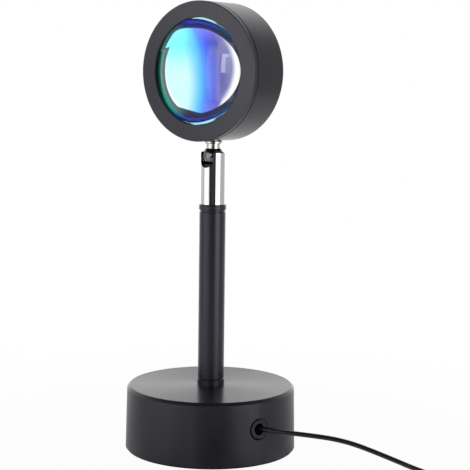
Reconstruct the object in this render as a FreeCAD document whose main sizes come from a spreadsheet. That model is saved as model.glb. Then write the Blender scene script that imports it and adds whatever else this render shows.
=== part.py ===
"""Projection lamp: a weighted round base, a slim post, a slotted ball joint and a round lens head.

Millimetres, +Z up, origin at the middle of the base's underside. At rest the lens faces -Y.
"""
import FreeCAD, Part
import math
import os
import re

import Sketcher
from FreeCAD import Placement, Rotation, Vector

os.makedirs("parts", exist_ok=True)
doc = FreeCAD.newDocument("projection_lamp")

# --------------------------------------------------------------------------------------------
# Driving dimensions
# --------------------------------------------------------------------------------------------
SIZES = {
    # base
    "base_foot_radius": 45.35,
    "base_taper": 0.71,
    "base_height": 34.0,
    "base_bevel": 1.44,
    "base_wall": 2.0,
    "base_roof": 2.6,
    "pad_thickness": 0.8,
    "pad_inset": 0.7,
    "cover_thickness": 2.0,
    "cover_gap": 0.2,
    "boss_radius": 4.0,
    "boss_ring": 35.0,
    "boss_count": 3,
    "weight_radius": 29.5,
    "weight_bore": 13.0,
    "weight_height": 12.0,
    "weight_chamfer": 1.0,
    # post and the hollow rod that clamps it
    "post_height": 96.5,
    "tube_radius": 6.95,
    "tube_bore": 5.9,
    "lower_collar_radius": 7.2,
    "lower_collar_height": 3.3,
    "upper_collar_radius": 7.2,
    "upper_collar_height": 2.8,
    "groove_radius": 6.6,
    "groove_height": 0.9,
    "spigot_length": 5.0,
    "rod_radius": 4.95,
    "rod_bore": 3.2,
    "rod_tail": 10.0,
    "rod_grip": 5.0,
    "nut_flats": 14.0,
    "nut_height": 4.0,
    "washer_radius": 9.0,
    "washer_thickness": 1.2,
    # ball joint
    "sleeve_radius": 6.7,
    "sleeve_height": 28.0,
    "sleeve_web": 1.5,
    "ball_radius": 5.6,
    "ball_below_rim": 2.4,
    "lip_radius": 5.2,
    "slot_width": 8.0,
    "slot_below_ball": 2.0,
    "seat_top_below_ball": 4.3,
    "spring_thickness": 0.7,
    "spring_rise": 0.65,
    "spring_count": 3,
    "spring_bore": 3.2,
    "neck_radius": 3.7,
    "neck_flat": 4.0,
    "pivot_radius": 2.75,
    "pivot_depth": 4.4,
    "flange_radius": 4.75,
    "flange_height": 1.4,
    "stem_reach": 7.9,
    "thread_radius": 2.5,
    "thread_length": 8.0,
    "stem_bore": 1.5,
    "stem_nut_flats": 8.0,
    "stem_nut_height": 3.2,
    # head
    "head_radius": 36.0,
    "head_depth": 26.8,
    "stem_behind_middle": 1.7,
    "head_wall": 2.0,
    "head_back": 2.4,
    "head_edge": 0.8,
    "head_seat": 3.4,
    "head_seat_width": 12.0,
    "bezel_depth": 3.3,
    "bezel_edge": 0.6,
    "bezel_lip": 2.0,
    "seam_width": 0.5,
    "seam_depth": 0.6,
    "bezel_rim": 8.5,
    "lens_overlap": 0.9,
    "lens_gap": 0.2,
    "dome_margin": 0.5,
    "dome_rise": 8.0,
    "lens_flange": 2.2,
    "filter_thickness": 1.1,
    "gasket_thickness": 0.8,
    "gasket_width": 2.3,
    "ring_thickness": 1.6,
    "ring_width": 3.15,
    "ring_notch": 3.0,
    "reflector_margin": 0.4,
    "reflector_narrow": 6.2,
    "reflector_length": 8.9,
    "reflector_wall": 0.9,
    "board_radius": 13.0,
    "board_thickness": 1.6,
    "board_screw_ring": 10.2,
    "board_screw_length": 5.0,
    "chip_width": 7.0,
    "chip_height": 1.5,
    "sink_gap": 4.0,
    "sink_thickness": 4.0,
    "sink_first_groove": 14.5,
    "sink_groove_width": 2.0,
    "sink_groove_pitch": 4.0,
    "sink_groove_count": 3,
    "sink_groove_depth": 2.2,
    "sink_screw_inset": 3.0,
    "sink_screw_count": 3,
    "blind_depth": 1.8,
    # cord gland and clamp
    "gland_bearing": 19.9,
    "gland_height": 19.0,
    "gland_radius": 5.35,
    "gland_gap": 0.3,
    "gland_hole": 3.05,
    "gland_web": 1.8,
    "gland_web_bore": 2.1,
    "gland_flange": 6.8,
    "gland_flange_thickness": 1.9,
    "cord_diameter": 2.5,
    "wire_diameter": 1.1,
    "wire_bend": 7.0,
    "wire_end_below_ball": 6.0,
    "head_wire_start": 1.5,
    "head_wire_rise": 18.4,
    "head_wire_turn": 19.0,
    "head_wire_end": 11.0,
    "clamp_length": 7.0,
    "clamp_width": 14.0,
    "clamp_bar": 2.2,
    "clamp_screw_pitch": 9.0,
    "clamp_screw_radius": 1.0,
    "clamp_screw_head": 1.9,
    "clamp_screw_head_height": 1.4,
    "clamp_screw_grip": 3.0,
    # cord coil and its tie
    "coil_middle_radius": 14.5,
    "coil_columns": 4,
    "coil_layers": 4,
    "tie_thickness": 0.8,
    "tie_width": 6.0,
    # switch on the cord
    "switch_length": 46.0,
    "switch_width": 16.0,
    "switch_height": 10.0,
    "switch_wall": 1.2,
    "switch_corner": 4.0,
    "switch_edge": 1.2,
    "button_radius": 4.2,
    "button_gap": 0.3,
    "button_rise": 1.5,
    "button_travel": 1.2,
    "button_edge": 0.6,
    "button_dish": 0.2,
    "button_dish_radius": 2.4,
    "button_flange": 0.8,
    "button_flange_height": 1.2,
    "switch_post": 2.6,
    "switch_post_inset": 5.5,
    "switch_board_length": 24.0,
    "switch_board_width": 10.4,
    "switch_board_thickness": 1.2,
    "module_width": 7.0,
    "module_height": 2.6,
    "plunger_radius": 1.75,
    "plunger_gap": 0.15,
    "case_screw_radius": 0.8,
    "case_screw_head": 1.8,
    "case_screw_head_height": 1.1,
    "case_screw_length": 6.4,
    # plug
    "boot_length": 9.0,
    "boot_radius": 3.3,
    "boot_neck_radius": 2.7,
    "boot_tip_radius": 2.0,
    "boot_neck": 1.6,
    "grip_length": 22.0,
    "grip_width": 15.4,
    "grip_height": 7.8,
    "grip_edge": 1.8,
    "plug_width": 12.0,
    "plug_height": 4.5,
    "plug_length": 15.0,
    "plug_wall": 0.35,
    "window_width": 2.4,
    "window_spacing": 6.2,
    "window_setback": 6.0,
    "insert_setback": 0.8,
    "contact_length": 9.0,
    "contact_width": 1.0,
    "contact_thickness": 0.15,
    "contact_setback": 4.0,
    "contact_inner": 1.0,
    "contact_outer": 3.5,
    # fasteners and fits
    "play": 0.05,
    "clearance": 0.3,
    "screw_radius": 1.25,
    "screw_head": 2.5,
    "screw_head_height": 0.95,
    "cover_screw_length": 10.0,
    "small_screw_head": 1.9,
    "small_screw_head_height": 0.9,
    "small_edge": 0.3,
    "rim_edge": 0.6,
}

sheet = doc.addObject("Spreadsheet::Sheet", "Sizes")
for row, (alias, value) in enumerate(SIZES.items(), 1):
    sheet.set("A%d" % row, alias)
    sheet.set("B%d" % row, str(value))
    sheet.setAlias("B%d" % row, alias)
doc.recompute()


def bound(expression):
    """The expression with each size's name pointing at its cell."""
    return re.sub(r"[a-z_]\w*", lambda word: "Sizes." + word[0] if word[0] in SIZES else word[0], expression)


def size(expression):
    """The value of an expression of sizes, in millimetres."""
    return float(sheet.evalExpression(bound(expression)))


# Lengths worked out from the driving dimensions, by the name a drawing would give them
BASE_TOP_RADIUS = "(base_foot_radius - base_taper)"
COVER_TOP = "(pad_thickness + cover_thickness)"
ROOF_UNDER = "(base_height - base_roof)"
ROD_HOLE = "(rod_radius + 0.2)"
SPIGOT_RADIUS = "(tube_bore - play)"
TUBE_LENGTH = "(post_height - lower_collar_height - groove_height - upper_collar_height)"
SLEEVE_FOOT = "(base_height + post_height)"
SEAT_RADIUS = "(ball_radius + play)"
BALL_IN_SLEEVE = "(sleeve_height - ball_below_rim)"
SLOT_FOOT = "(" + BALL_IN_SLEEVE + " - slot_below_ball)"
BALL_HEIGHT = "(" + SLEEVE_FOOT + " + " + BALL_IN_SLEEVE + ")"
SPRING_STACK = "((spring_thickness + spring_rise) * spring_count)"
HEAD_HEIGHT = "(" + BALL_HEIGHT + " + stem_reach + head_radius)"
SHELL_FRONT = "(bezel_depth + seam_width)"
SHELL_BORE = "(head_radius - head_wall)"
OPENING_RADIUS = "(head_radius - bezel_rim)"
LENS_RADIUS = "(" + OPENING_RADIUS + " + lens_overlap)"
DOME_RADIUS = "(" + OPENING_RADIUS + " - dome_margin)"
SKIRT_BORE = "(" + LENS_RADIUS + " + lens_gap)"
RING_RADIUS = "(" + SKIRT_BORE + " - play)"
RING_BORE = "(" + RING_RADIUS + " - ring_width)"
SINK_RADIUS = "(" + SHELL_BORE + " - sink_gap)"
SINK_SCREW_RING = "(" + SINK_RADIUS + " - sink_screw_inset)"
STEM_DEPTH = "(head_depth / 2 + stem_behind_middle)"
FILTER_FRONT = "(bezel_lip + lens_flange)"
GASKET_FRONT = "(" + FILTER_FRONT + " + filter_thickness)"
RING_FRONT = "(" + GASKET_FRONT + " + gasket_thickness)"
SKIRT_END = "(" + RING_FRONT + " + ring_thickness)"
SINK_FRONT = "(head_depth - head_back - sink_thickness)"
BOARD_FRONT = "(" + SINK_FRONT + " - board_thickness)"
CHIP_FRONT = "(" + BOARD_FRONT + " - chip_height)"
WEIGHT_TOP = "(" + COVER_TOP + " + weight_height)"
CORD_RADIUS = "(cord_diameter / 2)"
CLAMP_START = "(weight_radius - clamp_length)"
CLAMP_END = "(weight_radius - weight_chamfer)"
CLAMP_MIDDLE = "((" + CLAMP_START + " + " + CLAMP_END + ") / 2)"
COIL_INNER = "(coil_middle_radius - coil_columns * cord_diameter / 2)"
COIL_OUTER = "(coil_middle_radius + coil_columns * cord_diameter / 2)"
COIL_TOP = "(coil_layers * cord_diameter)"
SWITCH_MIDDLE = "(switch_height / 2)"
GRIP_MIDDLE = "(grip_height / 2)"
PLUG_NOSE = "(boot_length + grip_length)"

nodes = {}


# --------------------------------------------------------------------------------------------
# Making sketches, features and copies
# --------------------------------------------------------------------------------------------
def new_body(label):
    """An empty body that becomes one piece of the lamp."""
    body = doc.addObject("PartDesign::Body", label)
    body.Label = label
    nodes[label] = body
    return body


def sketch_on(body, purpose, role="XY_Plane", offset=None):
    """A sketch on one of the body's own planes, offset along the plane's normal."""
    sketch = body.newObject("Sketcher::SketchObject", body.Label + "_" + purpose)
    plane = next(item for item in body.Origin.OriginFeatures if item.Role == role)
    sketch.AttachmentSupport = [(plane, "")]
    sketch.MapMode = "FlatFace"
    if offset:
        sketch.setExpression("AttachmentOffset.Base.z", bound(offset))
    return sketch


def pin(sketch, item, end, x, y):
    """Hold one point of the sketch at x, y by two dimensions bound to the sheet."""
    for kind, axis, expression in (("DistanceX", -2, x), ("DistanceY", -1, y)):
        value = size(expression)
        if abs(value) < 1e-9:
            sketch.addConstraint(Sketcher.Constraint("PointOnObject", item, end, axis))
        elif value > 0:
            row = sketch.addConstraint(Sketcher.Constraint(kind, -1, 1, item, end, value))
            sketch.setExpression("Constraints[%d]" % row, bound(expression))
        else:
            row = sketch.addConstraint(Sketcher.Constraint(kind, item, end, -1, 1, -value))
            sketch.setExpression("Constraints[%d]" % row, bound("-(" + expression + ")"))


def draw_outline(sketch, points):
    """A closed outline. A point with the word arc is reached by an arc centred on the upright axis."""
    spots = [(size(point[0]), size(point[1])) for point in points]
    edges = []
    for place, point in enumerate(points):
        (x0, y0), (x1, y1) = spots[place - 1], spots[place]
        if len(point) == 2:
            line = sketch.addGeometry(Part.LineSegment(Vector(x0, y0, 0), Vector(x1, y1, 0)))
            edges.append((line, 1, 2))
            continue
        middle = (x1 * x1 + y1 * y1 - x0 * x0 - y0 * y0) / (2 * (y1 - y0))
        start, finish = math.atan2(y0 - middle, x0), math.atan2(y1 - middle, x1)
        circle = Part.Circle(Vector(0, middle, 0), Vector(0, 0, 1), math.hypot(x1, y1 - middle))
        forward = (finish - start) % (2 * math.pi) < math.pi
        span = (start, finish) if forward else (finish, start)
        arc = sketch.addGeometry(Part.ArcOfCircle(circle, *span))
        sketch.addConstraint(Sketcher.Constraint("PointOnObject", arc, 3, -2))
        edges.append((arc, 1, 2) if forward else (arc, 2, 1))
    for place, point in enumerate(points):
        here, after = edges[place], edges[(place + 1) % len(edges)]
        sketch.addConstraint(Sketcher.Constraint("Coincident", here[0], here[2], after[0], after[1]))
        pin(sketch, here[0], here[2], point[0], point[1])


def draw_circle(sketch, x, y, radius):
    """A circle whose place and radius are bound to the sheet."""
    ring = sketch.addGeometry(Part.Circle(Vector(size(x), size(y), 0), Vector(0, 0, 1), size(radius)))
    pin(sketch, ring, 3, x, y)
    row = sketch.addConstraint(Sketcher.Constraint("Radius", ring, size(radius)))
    sketch.setExpression("Constraints[%d]" % row, bound(radius))


def draw_box(sketch, x0, x1, y0, y1):
    """An upright rectangle between two corners."""
    draw_outline(sketch, [(x1, y0), (x1, y1), (x0, y1), (x0, y0)])


def turn(body, sketch, purpose="turned", axis="V_Axis"):
    """Revolve a sketch all the way round one of its own axes."""
    feature = body.newObject("PartDesign::Revolution", body.Label + "_" + purpose)
    feature.Profile = sketch
    feature.ReferenceAxis = (sketch, [axis])
    feature.Angle = 360
    body.Tip = feature
    doc.recompute()
    return feature


def pad(body, sketch, length, purpose="pad", backwards=False):
    """Raise a sketch to a solid."""
    feature = body.newObject("PartDesign::Pad", body.Label + "_" + purpose)
    feature.Profile = sketch
    feature.setExpression("Length", bound(length))
    feature.Reversed = backwards
    body.Tip = feature
    doc.recompute()
    return feature


def pocket(body, sketch, length, purpose="pocket", backwards=False, both=False):
    """Cut a sketch into the body, and make sure that it took material away."""
    volume = body.Shape.Volume
    feature = body.newObject("PartDesign::Pocket", body.Label + "_" + purpose)
    feature.Profile = sketch
    feature.setExpression("Length", bound(length))
    feature.Midplane = both
    feature.Reversed = backwards
    body.Tip = feature
    doc.recompute()
    if body.Shape.Volume > volume - 1e-3:
        raise ValueError(feature.Label + " cut nothing")
    return feature


def repeat(body, feature, count):
    """The same feature evenly spaced round the body's upright axis."""
    pattern = body.newObject("PartDesign::PolarPattern", feature.Label + "_repeat")
    pattern.Originals = [feature]
    axis = next(item for item in body.Origin.OriginFeatures if item.Role == "Z_Axis")
    pattern.Axis = (axis, [""])
    pattern.Angle = 360
    pattern.setExpression("Occurrences", bound(count))
    body.Tip = pattern
    doc.recompute()


def round_edges(body, radius, chosen, kind="PartDesign::Fillet"):
    """Round the edges of the body's last feature that the test picks."""
    last = body.Tip
    names = ["Edge%d" % (n + 1) for n, edge in enumerate(last.Shape.Edges) if chosen(edge)]
    feature = body.newObject(kind, body.Label + "_rounding_%d" % len(body.Group))
    feature.Base = (last, names)
    feature.setExpression("Radius", bound(radius))
    body.Tip = feature
    doc.recompute()


def is_along(edge, axis):
    """True if a straight edge runs along the axis."""
    if edge.Curve.TypeId != "Part::GeomLine":
        return False
    return abs(abs(edge.tangentAt(edge.FirstParameter).dot(axis)) - 1) < 1e-6


def turned(label, outline):
    """A piece turned from one outline of radius and height."""
    body = new_body(label)
    sketch = sketch_on(body, "outline", "XZ_Plane")
    draw_outline(sketch, outline)
    turn(body, sketch)
    return body


def ring(label, outer, inner, height):
    """A plain ring or tube."""
    return turned(label, [(inner, "0"), (outer, "0"), (outer, height), (inner, height)])


def move(piece, x="0", y="0", z="0", rotation=Rotation()):
    """Turn a piece and put it at a place that is bound to the sheet."""
    piece.Placement = Placement(Vector(), rotation)
    for axis, expression in zip("xyz", (x, y, z)):
        piece.setExpression("Placement.Base." + axis, bound(expression))
    doc.recompute()


def made(label, shape):
    """A piece whose shape is worked out in code."""
    piece = doc.addObject("Part::Feature", label)
    piece.Label = label
    piece.Shape = shape
    nodes[label] = piece
    return piece


def copies(label, master, placements):
    """Identical solids as one group, copied from one master solid."""
    return made(label, Part.makeCompound([master.transformed(place.toMatrix()) for place in placements]))


# Two ways a piece can stand: turned to the gland's bearing, or facing out of the head
GLAND_TURN = Rotation(Vector(0, 0, 1), -size("gland_bearing"))
HEAD_TURN = Rotation(Vector(1, 0, 0), -90)


def in_base(piece, z="0"):
    """Stand a piece in the base, whose +X is turned to where the cord comes out."""
    move(piece, z=z, rotation=GLAND_TURN)


def in_head(piece, depth="0"):
    """Put a piece in the head, its own +Z running back from the head's front face."""
    move(piece, y="(" + depth + ") - " + STEM_DEPTH, z=HEAD_HEIGHT, rotation=HEAD_TURN)


# --------------------------------------------------------------------------------------------
# Base
# --------------------------------------------------------------------------------------------
def make_base():
    shell = turned("base_shell", [
        ("base_foot_radius - base_wall", "pad_thickness"),
        ("base_foot_radius", "pad_thickness"),
        (BASE_TOP_RADIUS, "base_height - base_bevel"),
        (BASE_TOP_RADIUS + " - base_bevel", "base_height"),
        (ROD_HOLE, "base_height"),
        (ROD_HOLE, ROOF_UNDER),
        (BASE_TOP_RADIUS + " - base_wall", ROOF_UNDER),
    ])
    boss = sketch_on(shell, "boss_sketch", offset=COVER_TOP)
    draw_circle(boss, "-boss_ring", "0", "boss_radius")
    draw_circle(boss, "-boss_ring", "0", "screw_radius + play")
    raised = pad(shell, boss, ROOF_UNDER + " - " + COVER_TOP + " + base_roof / 2", "boss")
    repeat(shell, raised, "boss_count")
    hole = sketch_on(shell, "gland_sketch", "YZ_Plane")
    draw_circle(hole, "0", "gland_height", "gland_radius + gland_gap")
    pocket(shell, hole, "base_foot_radius + base_wall", "gland_hole", backwards=True)
    in_base(shell)

    pad_sheet = turned("base_pad", [
        ("0", "0"),
        ("base_foot_radius - pad_inset", "0"),
        ("base_foot_radius - pad_inset", "pad_thickness"),
        ("0", "pad_thickness"),
    ])
    in_base(pad_sheet)

    cover = turned("base_cover", [
        ("0", "0"),
        ("base_foot_radius - base_wall - cover_gap - small_edge", "0"),
        ("base_foot_radius - base_wall - cover_gap", "small_edge"),
        ("base_foot_radius - base_wall - cover_gap", "cover_thickness"),
        ("0", "cover_thickness"),
    ])
    sink = sketch_on(cover, "screw_sketch")
    draw_circle(sink, "-boss_ring", "0", "screw_head + play")
    head_pocket = pocket(cover, sink, "screw_head_height + small_edge", "screw_head", backwards=True)
    repeat(cover, head_pocket, "boss_count")
    through = sketch_on(cover, "shank_sketch")
    draw_circle(through, "-boss_ring", "0", "screw_radius + play * 2")
    shank_hole = pocket(cover, through, "cover_thickness", "screw_shank", backwards=True)
    repeat(cover, shank_hole, "boss_count")
    in_base(cover, "pad_thickness")

    weight = turned("counterweight", [
        ("weight_bore", "0"),
        (CLAMP_END, "0"),
        ("weight_radius", "weight_chamfer"),
        ("weight_radius", "weight_height - weight_chamfer"),
        (CLAMP_END, "weight_height"),
        ("weight_bore", "weight_height"),
    ])
    in_base(weight, COVER_TOP)

    screw = screw_solid("screw_radius", "screw_head", "screw_head_height", "cover_screw_length")
    reach = size("boss_ring")
    turns = [180 + 360 * n / SIZES["boss_count"] for n in range(SIZES["boss_count"])]
    group = copies("cover_screws", screw, [
        Placement(GLAND_TURN.multVec(turned_to(reach, angle)), Rotation()) for angle in turns])
    group.Placement = Placement(Vector(0, 0, size("pad_thickness + small_edge")), Rotation())


def turned_to(reach, angle):
    """A point at a distance from the upright axis, at an angle from +X."""
    return Rotation(Vector(0, 0, 1), angle).multVec(Vector(reach, 0, 0))


def screw_solid(shank_radius, head_radius, head_height, length):
    """A cheese-head screw standing head down, with a cross recess in the head."""
    head, tall = size(head_radius), size(head_height)
    blank = Part.makeCylinder(head, tall).fuse(Part.makeCylinder(size(shank_radius), size(length)))
    recess_width, recess_length, recess_depth = head * 0.3, head * 1.2, tall * 0.6
    for turn_angle in (0, 90):
        slot = Part.makeBox(recess_length, recess_width, recess_depth)
        slot.translate(Vector(-recess_length / 2, -recess_width / 2, 0))
        slot.rotate(Vector(), Vector(0, 0, 1), turn_angle)
        blank = blank.cut(slot)
    return blank.removeSplitter()


# --------------------------------------------------------------------------------------------
# Post
# --------------------------------------------------------------------------------------------
def make_post():
    lower = turned("lower_collar", [
        (ROD_HOLE, "0"),
        ("lower_collar_radius", "0"),
        ("lower_collar_radius", "lower_collar_height - small_edge"),
        ("lower_collar_radius - small_edge", "lower_collar_height"),
        (SPIGOT_RADIUS, "lower_collar_height"),
        (SPIGOT_RADIUS, "lower_collar_height + spigot_length"),
        (ROD_HOLE, "lower_collar_height + spigot_length"),
    ])
    move(lower, z="base_height")
    tube = turned("post_tube", [
        ("tube_bore", "0"),
        ("tube_radius - small_edge", "0"),
        ("tube_radius", "small_edge"),
        ("tube_radius", TUBE_LENGTH + " - small_edge"),
        ("tube_radius - small_edge", TUBE_LENGTH),
        ("tube_bore", TUBE_LENGTH),
    ])
    move(tube, z="base_height + lower_collar_height")
    upper = turned("upper_collar", [
        (ROD_HOLE, "0"),
        (SPIGOT_RADIUS, "0"),
        (SPIGOT_RADIUS, "spigot_length"),
        ("groove_radius", "spigot_length"),
        ("groove_radius", "spigot_length + groove_height"),
        ("upper_collar_radius - small_edge", "spigot_length + groove_height"),
        ("upper_collar_radius", "spigot_length + groove_height + small_edge"),
        ("upper_collar_radius", "spigot_length + groove_height + upper_collar_height - small_edge"),
        ("upper_collar_radius - small_edge", "spigot_length + groove_height + upper_collar_height"),
        (ROD_HOLE, "spigot_length + groove_height + upper_collar_height"),
    ])
    move(upper, z=SLEEVE_FOOT + " - upper_collar_height - groove_height - spigot_length")

    rod_length = "(rod_tail + base_roof - clearance + post_height + rod_grip - play)"
    rod = turned("threaded_rod", [
        ("rod_bore", "0"),
        ("rod_radius - small_edge", "0"),
        ("rod_radius", "small_edge"),
        ("rod_radius", rod_length + " - small_edge"),
        ("rod_radius - small_edge", rod_length),
        ("rod_bore", rod_length),
    ])
    move(rod, z=ROOF_UNDER + " - rod_tail + clearance")
    washer = ring("rod_washer", "washer_radius", ROD_HOLE, "washer_thickness")
    move(washer, z=ROOF_UNDER + " - washer_thickness")
    nut = hex_nut("rod_nut", "nut_flats", "rod_radius + play", "nut_height")
    move(nut, z=ROOF_UNDER + " - washer_thickness - nut_height")


def hex_nut(label, flats, bore, height):
    """A hexagon nut with its corners on X and its flats facing Y."""
    body = new_body(label)
    sketch = sketch_on(body, "hexagon")
    corner, half = flats + " / sqrt(3)", flats + " / 2"
    draw_outline(sketch, [
        (corner, "0"), (corner + " / 2", half), ("-" + corner + " / 2", half),
        ("-" + corner, "0"), ("-" + corner + " / 2", "-" + half), (corner + " / 2", "-" + half),
    ])
    draw_circle(sketch, "0", "0", bore)
    pad(body, sketch, height)
    return body


# --------------------------------------------------------------------------------------------
# Ball joint
# --------------------------------------------------------------------------------------------
def make_joint():
    floor = "(rod_grip + sleeve_web)"
    sleeve = turned("swivel_sleeve", [
        ("rod_radius + play", "0"),
        ("sleeve_radius - small_edge", "0"),
        ("sleeve_radius", "small_edge"),
        ("sleeve_radius", "sleeve_height - rim_edge"),
        ("sleeve_radius - rim_edge", "sleeve_height"),
        ("lip_radius", "sleeve_height"),
        ("lip_radius", BALL_IN_SLEEVE + " + sqrt(" + SEAT_RADIUS + "^2 - lip_radius^2)"),
        (SEAT_RADIUS, BALL_IN_SLEEVE, "arc"),
        (SEAT_RADIUS, floor),
        ("rod_bore", floor),
        ("rod_bore", "rod_grip"),
        ("rod_radius + play", "rod_grip"),
    ])
    foot = sketch_on(sleeve, "slot_foot", "XZ_Plane")
    draw_circle(foot, "0", SLOT_FOOT, "slot_width / 2")
    pocket(sleeve, foot, "sleeve_radius * 2", "slot_end", backwards=True)
    sides = sketch_on(sleeve, "slot_sides", "XZ_Plane")
    draw_box(sides, "-slot_width / 2", "slot_width / 2", SLOT_FOOT, "sleeve_height + slot_width")
    pocket(sleeve, sides, "sleeve_radius * 2", "slot", backwards=True)
    move(sleeve, z=SLEEVE_FOOT)

    stack_foot = SLEEVE_FOOT + " + " + floor
    seat_foot = stack_foot + " + " + SPRING_STACK
    seat_height = "(" + BALL_IN_SLEEVE + " - " + floor + " - " + SPRING_STACK + " - seat_top_below_ball)"
    ball_over_foot = "(" + seat_height + " + seat_top_below_ball)"
    seat = turned("friction_seat", [
        ("pivot_radius", "0"),
        (SEAT_RADIUS + " - play * 2", "0"),
        (SEAT_RADIUS + " - play * 2", seat_height),
        ("sqrt(" + SEAT_RADIUS + "^2 - seat_top_below_ball^2)", seat_height),
        ("pivot_radius", ball_over_foot + " - sqrt(" + SEAT_RADIUS + "^2 - pivot_radius^2)", "arc"),
    ])
    move(seat, z=seat_foot)

    rim = "(" + SEAT_RADIUS + " - play * 4)"
    master = Part.makePolygon([
        Vector(size("spring_bore"), 0, size("spring_rise")),
        Vector(size(rim), 0, 0),
        Vector(size(rim), 0, size("spring_thickness")),
        Vector(size("spring_bore"), 0, size("spring_rise + spring_thickness")),
        Vector(size("spring_bore"), 0, size("spring_rise")),
    ])
    cone = Part.Face(master).revolve(Vector(), Vector(0, 0, 1), 360)
    step = size("spring_thickness + spring_rise")
    flip = Rotation(Vector(1, 0, 0), 180)
    places = []
    for count in range(SIZES["spring_count"]):
        upside_down = count % 2 == 1
        lift = step * (count + 1) if upside_down else step * count
        places.append(Placement(Vector(0, 0, lift), flip if upside_down else Rotation()))
    springs = copies("friction_springs", cone, places)
    springs.Placement = Placement(Vector(0, 0, size(stack_foot)), Rotation())

    ball = new_body("swivel_ball")
    cut = "sqrt(ball_radius^2 - neck_flat^2)"
    low = "-sqrt(ball_radius^2 - (pivot_radius + play)^2)"
    profile = sketch_on(ball, "outline", "XZ_Plane")
    draw_outline(profile, [
        ("pivot_radius + play", low),
        (cut, "neck_flat", "arc"),
        ("pivot_radius + play", "neck_flat"),
    ])
    turn(ball, profile)
    move(ball, z=BALL_HEIGHT)

    shoulder = "(pivot_depth + neck_flat + play)"
    top = "(pivot_depth + stem_reach)"
    stem = turned("swivel_stem", [
        ("stem_bore", "0"),
        ("pivot_radius", "0"),
        ("pivot_radius", shoulder),
        ("neck_radius", shoulder),
        ("neck_radius", top + " - flange_height"),
        ("flange_radius - small_edge", top + " - flange_height"),
        ("flange_radius", top + " - flange_height + small_edge"),
        ("flange_radius", top + " - small_edge"),
        ("flange_radius - small_edge", top),
        ("thread_radius", top),
        ("thread_radius", top + " + thread_length"),
        ("stem_bore", top + " + thread_length"),
    ])
    move(stem, z=BALL_HEIGHT + " - pivot_depth")
    nut = hex_nut("stem_nut", "stem_nut_flats", "thread_radius + play", "stem_nut_height")
    move(nut, z=BALL_HEIGHT + " + stem_reach + head_seat")


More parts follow.
